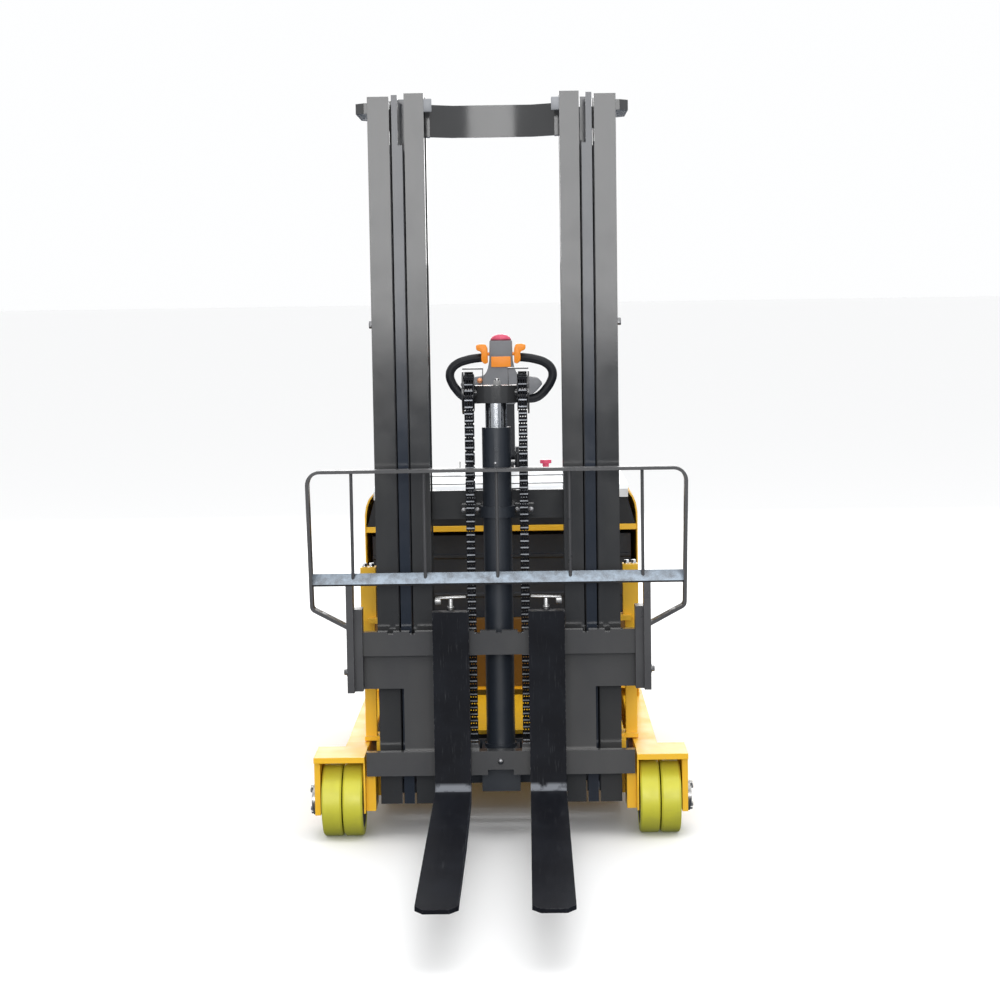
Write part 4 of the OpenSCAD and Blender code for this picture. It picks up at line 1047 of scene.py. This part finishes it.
grip_mid = (head_low.y + head_high.y) / 2
loop = [(0.046, 1.309), (0.080, 1.307), (0.120, 1.300), (0.152, 1.288), (0.172, 1.269), (0.1775, 1.247),
        (0.170, 1.222), (0.156, 1.200), (0.138, 1.180), (0.118, 1.168), (0.090, 1.165), (0.046, 1.167)]
for side, word in ((1, "right"), (-1, "left")):
    tube("grip_loop_" + word, [(side * x, grip_mid, z) for x, z in loop], grip_radius, grip_rubber,
         "tiller", ("tiller_grips",) if side > 0 else ())
    tube("grip_collar_" + word, [(side * x, grip_mid, collar_z) for x in collar_x], collar_radius,
         grey_plastic, "tiller")

# %% [markdown]
# ## Thumb wings, rocker and safety button
# The thumbs push the orange wings to drive, so each wing has a broad lower pad
# and a hook at the top that stops the thumb. The rocker lifts and lowers. The
# soft button on top reverses the truck when it is pushed against a body, so it is
# a large dome on a seal, which sinks into the pocket in the neck's top; the seal's
# darker red is painted shade under the dome's rim. The dome stays narrower than
# that pocket.

# %% Wings
wing_radius, axle_radius, axle_wide = 0.0042, 0.006, 0.110
wing_shape = [(0.0450, 1.2905), (0.0560, 1.2865), (0.0665, 1.2960), (0.0680, 1.3100), (0.0660, 1.3220),
              (0.0700, 1.3300), (0.0800, 1.3330), (0.0850, 1.3380), (0.0850, 1.3520), (0.0700, 1.3555),
              (0.0520, 1.3540), (0.0455, 1.3400)]
for side, word in ((1, "right"), (-1, "left")):
    wing = moulding([(side * x, z) for x, z in wing_shape], neck_front - 0.008, neck_front + 0.030,
                    wing_radius)
    if side > 0:
        rod(wing, Matrix.Translation((0, neck_front + 0.008, 1.321)) @ along_x, axle_radius, axle_wide)
    put("thumb_wing_" + word, wing, orange_plastic, "throttle",
        ("throttle_wings",) if side > 0 else ())
print("wings", round(2 * wing_shape[6][0], 3), "m across")

# %% Rocker
rocker_mid, rocker_dip = (rocker_low.z + rocker_high.z) / 2, 0.0016
rocker = moulding(mirrored([(rocker_wide, rocker_low.z), (rocker_wide, rocker_high.z)]),
                  rocker_low.y, rocker_high.y, radius=0.0022)
bmesh.ops.bisect_plane(rocker, geom=rocker.verts[:] + rocker.edges[:] + rocker.faces[:],
                       plane_co=(0, 0, rocker_mid), plane_no=upward)
for vert in rocker.verts:
    if abs(vert.co.z - rocker_mid) < 1e-5 and vert.co.y < neck_front:
        vert.co.y += rocker_dip
put("lift_rocker_pad", rocker, orange_plastic, "lift_rocker", ("lift_rocker",))
print("rocker", round(2 * rocker_wide, 4), "wide")

# %% Safety button
button_mid = (neck_front + neck_back) / 2
button_wide, button_deep = 0.0354, 0.0287
seal_wide, seal_deep, seal_high, seal_down = 0.0360, 0.0290, 0.0120, 0.0243
cap = bmesh.new()
outline = [(0.0, 0.0), (0.35, 0.0012), (0.68, 0.0048), (0.9, 0.0105), (0.985, 0.0155), (0.985, 0.0185)]
corners = [cap.verts.new((share * button_wide, button_mid, button_high.z - drop)) for share, drop in outline]
edges = [cap.edges.new(pair) for pair in zip(corners, corners[1:])]
bmesh.ops.spin(cap, geom=corners + edges, cent=(0, button_mid, 0), axis=(0, 0, 1), dvec=(0, 0, 0),
               angle=math.tau, steps=48, use_merge=True, use_duplicate=False)
bmesh.ops.scale(cap, vec=(1, button_deep / button_wide, 1), verts=cap.verts[:],
                space=Matrix.Translation((0, -button_mid, 0)))
put("safety_dome", cap, red_plastic, "belly_button", ("belly_button",))
ring = bmesh.new()
rod(ring, Matrix.Translation((0, 0, button_high.z - seal_down)), seal_wide, seal_high, segments=48)
bmesh.ops.scale(ring, vec=(1, seal_deep / seal_wide, 1), verts=ring.verts[:])
bmesh.ops.translate(ring, vec=(0, button_mid, 0), verts=ring.verts[:])
# The seal's darker red is painted shade under the dome.
put("safety_ring", ring, seal_painted_shade, "belly_button")
print("button dome", round(2 * button_wide, 3), "m")

# %% [markdown]
# ## Fork latches
# Each fork is locked to the hook bar by a pin with a bent strip for a handle: a
# flat bar with one end folded down. The strip starts as one flat box, and the
# fold is a second box at its outer end, both with their edges rounded.

# %% Latches
handle_lean, handle_radius = 0.035, 0.0016
handle_size, fold_size, fold_shift = (0.086, 0.022, 0.0055), (0.017, 0.021, 0.016), (0.036, 0, -0.0095)


def bent_strip(bm, centre, side):
    """Flat handle with its outer end folded down."""
    place = Matrix.Translation(centre) @ Matrix.Rotation(side * handle_lean, 4, "Y")
    block(bm, place, handle_size, handle_radius)
    out, back, down_by = fold_shift
    block(bm, place @ Matrix.Translation((side * out, back, down_by)), fold_size, handle_radius)


for side, word in ((1, "right"), (-1, "left")):
    low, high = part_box("latch_" + word)
    x, y = (low.x + high.x) / 2, (low.y + high.y) / 2
    latch = bmesh.new()
    bent_strip(latch, (x, y, high.z - 0.0045), side)
    pin, upper_collar, lower_collar = ((low.z, 0.0070, high.z - low.z - 0.007),
                                       (high.z - 0.036, 0.0098, 0.007), (low.z + 0.0343, 0.0119, 0.009))
    for z, radius, tall in (pin, upper_collar, lower_collar):
        stud(latch, Matrix.Translation((x, y, z)), radius, tall)
    put("latch_pin_" + word, latch, zinc, "latch_" + word, ("latch_" + word,))
print("latch pin", round(high.z - low.z, 3), "m tall")

# %% [markdown]
# ## Small parts of the mast
# The chains run between dark guard discs, and a thin bent strip over each wheel
# keeps the chain on it. The strip is a bar with one corner, so two rounded boxes
# that share that corner are enough. Sliding pads show their pale ends at the top
# of the inner rails.

# %% Helper: rounded box


def plate(bm, corner, opposite, radius):
    """Box between two opposite corners, all its edges rounded."""
    centre = (Vector(corner) + Vector(opposite)) / 2
    size = [abs(reach) for reach in Vector(opposite) - Vector(corner)]
    block(bm, Matrix.Translation(centre), size, radius)


print("plate helper ready")

# %% Chain guards and strips
disc_x, disc_thick, disc_room = 0.0612, 0.0024, 0.003
strip_x, strip_end_x, strip_thick, strip_y = 0.0345, 0.0920, 0.0020, (-0.148, -0.100)
strip_low, strip_high = 1.3135, 1.3175
guards, strips = bmesh.new(), bmesh.new()
cross_top = face_at("crosshead", (0.030, head_y, 2), (0, 0, -1))[0].z
disc_radius = (wheel_high.z - wheel_low.z) / 2 + disc_room
for side in (-1, 1):
    beside = Matrix.Translation((side * disc_x, wheel_y, wheel_z)) @ along_x
    disc = rod(guards, beside, disc_radius, disc_thick, segments=64)
    soften(guards, rims(guards, disc), 0.0005)
    plate(strips, (side * strip_x, strip_y[0], cross_top - sunk),
          (side * (strip_x + strip_thick), strip_y[1], strip_high), 0.0005)
    plate(strips, (side * strip_x, strip_y[0], strip_low),
          (side * strip_end_x, strip_y[1], strip_high), 0.0008)
put("chain_guard_discs", guards, black_plastic, "crosshead")
put("chain_strips", strips, guard_paint, "crosshead")
print("guard discs", round(disc_radius, 4), "strips stand on z", round(cross_top, 4))

# %% Pads, valve and stop of the inner mast
pad_x, pad_z, pad_thick, flange_x = (0.164, 0.188), (2.022, 2.058), 0.010, 0.200
valve_z, valve_radius, valve_half = 1.051, 0.0085, 0.017
stop_y, stop_z = (-0.135, -0.065), (1.137, 1.183)
clips, details = bmesh.new(), bmesh.new()
for side in (-1, 1):
    place, out = face_at("inner_mast", (side * flange_x, -1, sum(pad_z) / 2), (0, 1, 0))
    plate(clips, (side * pad_x[0], place.y + 0.0005, pad_z[0]),
          (side * pad_x[1], place.y + pad_thick, pad_z[1]), 0.0025)
put("pad_clips", clips, pad_plastic, "inner_mast")
barrel_low, barrel_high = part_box("free_lift_barrel")
barrel_y = (barrel_low.y + barrel_high.y) / 2
barrel_wide = (barrel_high.y - barrel_low.y) / 2
valve = bmesh.ops.create_uvsphere(details, u_segments=24, v_segments=16, radius=1.0,
                                  matrix=Matrix.Translation((barrel_wide + 0.0035, barrel_y, valve_z))
                                  @ Matrix.Diagonal((valve_radius, valve_radius, 0.010, 1)))
for vert in valve["verts"]:
    vert.co.z += valve_half if vert.co.z > valve_z else -valve_half
place, out = face_at("inner_mast", (0, sum(stop_y) / 2, sum(stop_z) / 2), (-1, 0, 0))
plate(details, (place.x - 0.002, stop_y[0], stop_z[0]), (place.x + 0.006, stop_y[1], stop_z[1]), 0.0018)
put("mast_details", details, black_plastic, "inner_mast")
print("stop at X", round(place.x, 4))

# %% [markdown]
# ## Slide strips
# Nested rails run on rollers with a few millimetres between them. Thin strips on
# the flange edges close that gap, so that no daylight shows through from front
# to back, and the inner rail can't rub on bare steel.

# %% Strips along the rails
slide_y, slide_half, slide_thick = (-0.150, -0.018), 0.005, 0.0026
slide_low, slide_down, slide_mid = 0.120, 0.130, 0.600
for body, node, name in (("reach_unit", "outer_mast", "outer_slide_strips"),
                         ("middle_mast", "middle_mast", "middle_slide_strips")):
    strips = bmesh.new()
    low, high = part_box(node)
    for side in (-1, 1):
        for y in slide_y:
            place, out = face_at(node, (0, y, slide_mid), (side, 0, 0))
            plate(strips, (place.x - side * slide_thick, y - slide_half, slide_low),
                  (place.x + side * sunk, y + slide_half, high.z - slide_down), 0.0008)
    put(name, strips, black_plastic, body)
    print(name, "at X", round(place.x, 4))

# %% [markdown]
# ## Hood
# The battery cover is a lid: it is hinged at the back and lifted by a dark grip
# in its front edge. A dark seam round its raised field and the slots of a vent
# in the fixed rear cowl make its size readable. Each is a thin piece let into
# the surface, so the hood's outline doesn't change.

# %% Seams, grip and vents of the hood
seam_radius, field_inset, field_seam = 0.0004, 0.060, 0.005
grip_half, vent_half, vent_count, vent_step, vent_high = 0.085, 0.24, 7, 0.0045, 0.002
lid_low, lid_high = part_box("battery_cover")
seam_low, seam_high, seam_x = lid_high.z - 0.002, lid_high.z + 0.0006, lid_high.x - 0.070
seam_front, seam_back = lid_low.y + field_inset, lid_high.y - field_inset
cowl_low, cowl_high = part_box("rear_cowl")
on_lid, on_cowl = bmesh.new(), bmesh.new()
for side in (-1, 1):
    plate(on_lid, (side * (seam_x - field_seam), seam_front, seam_low), (side * seam_x, seam_back, seam_high),
          seam_radius)
for y in (seam_front, seam_back - field_seam):
    plate(on_lid, (-seam_x, y, seam_low), (seam_x, y + field_seam, seam_high), seam_radius)
plate(on_lid, (-grip_half, lid_low.y - 0.0008, lid_low.z + 0.008),
      (grip_half, lid_low.y + 0.004, lid_high.z - 0.010), 0.0015)
for row in range(vent_count):
    z = cowl_low.z + 0.006 + row * vent_step
    plate(on_cowl, (-vent_half, cowl_high.y - 0.004, z), (vent_half, cowl_high.y - 0.0007, z + vent_high),
          seam_radius)
put("lid_seams", on_lid, black_plastic, "battery_cover")
put("cowl_vents", on_cowl, black_plastic, "chassis")
print("lid", round(lid_high.y - lid_low.y, 3), "m long")

# %% [markdown]
# ## Doors, vents and bolts of the body
# A closed yellow box would look unfinished from the sides and the back, where
# the real machine has service doors. The doors are drawn by their dark seams,
# with a louvred vent and two quarter-turn locks in the rear one, a recessed
# grip in each side and bolts in the corners.

# %% Rear door
seam_half, let_in, proud = 0.0015, 0.002, 0.0007
rear_half, rear_low, rear_high = 0.330, 0.300, 0.745
louvre_half, louvre_low, louvre_step, louvre_high = 0.200, 0.600, 0.013, 0.006
lock_x, lock_z = 0.290, 0.520
seams, locks = bmesh.new(), bmesh.new()
wall = body_high.y - vent_room
seam_in, seam_out = wall - let_in, wall + proud
for z in (rear_low, rear_high):
    plate(seams, (-rear_half, seam_in, z - seam_half), (rear_half, seam_out, z + seam_half), seam_radius)
for x in (-rear_half, rear_half):
    plate(seams, (x - seam_half, seam_in, rear_low), (x + seam_half, seam_out, rear_high), seam_radius)
for row in range(9):
    z = louvre_low + row * louvre_step
    plate(seams, (-louvre_half, seam_in, z), (louvre_half, wall + 0.0013, z + louvre_high), 0.0006)
for x in (-lock_x, lock_x):
    dome(locks, standing_on(Vector((x, wall, lock_z)), Vector((0, 1, 0))), radius=0.0130, height=0.0013)
print("rear wall at Y", round(wall, 4))

# %% Side doors
door_y, door_z, bolt_y = (0.690, 1.060), (0.330, 0.735), (1.110, 1.375)
grip_y, grip_z = (0.810, 0.940), (0.672, 0.700)
for side in (-1, 1):
    seam_in, seam_out = side * (body_high.x - let_in), side * (body_high.x + proud)
    for z in door_z:
        plate(seams, (seam_in, door_y[0], z - seam_half), (seam_out, door_y[1], z + seam_half), seam_radius)
    for y in door_y:
        plate(seams, (seam_in, y - seam_half, door_z[0]), (seam_out, y + seam_half, door_z[1]), seam_radius)
    grip_out = side * (body_high.x + 0.0012)
    plate(seams, (seam_in, grip_y[0], grip_z[0]), (grip_out, grip_y[1], grip_z[1]), 0.0010)
    for y in bolt_y:
        for z in door_z:
            on_side = standing_on(Vector((side * body_high.x, y, z)), Vector((side, 0, 0)))
            dome(locks, on_side, radius=0.0085, height=0.0035)
put("door_seams", seams, black_plastic, "chassis")
put("door_locks", locks, zinc, "chassis")
print("side doors", round(door_y[1] - door_y[0], 3), "m long")
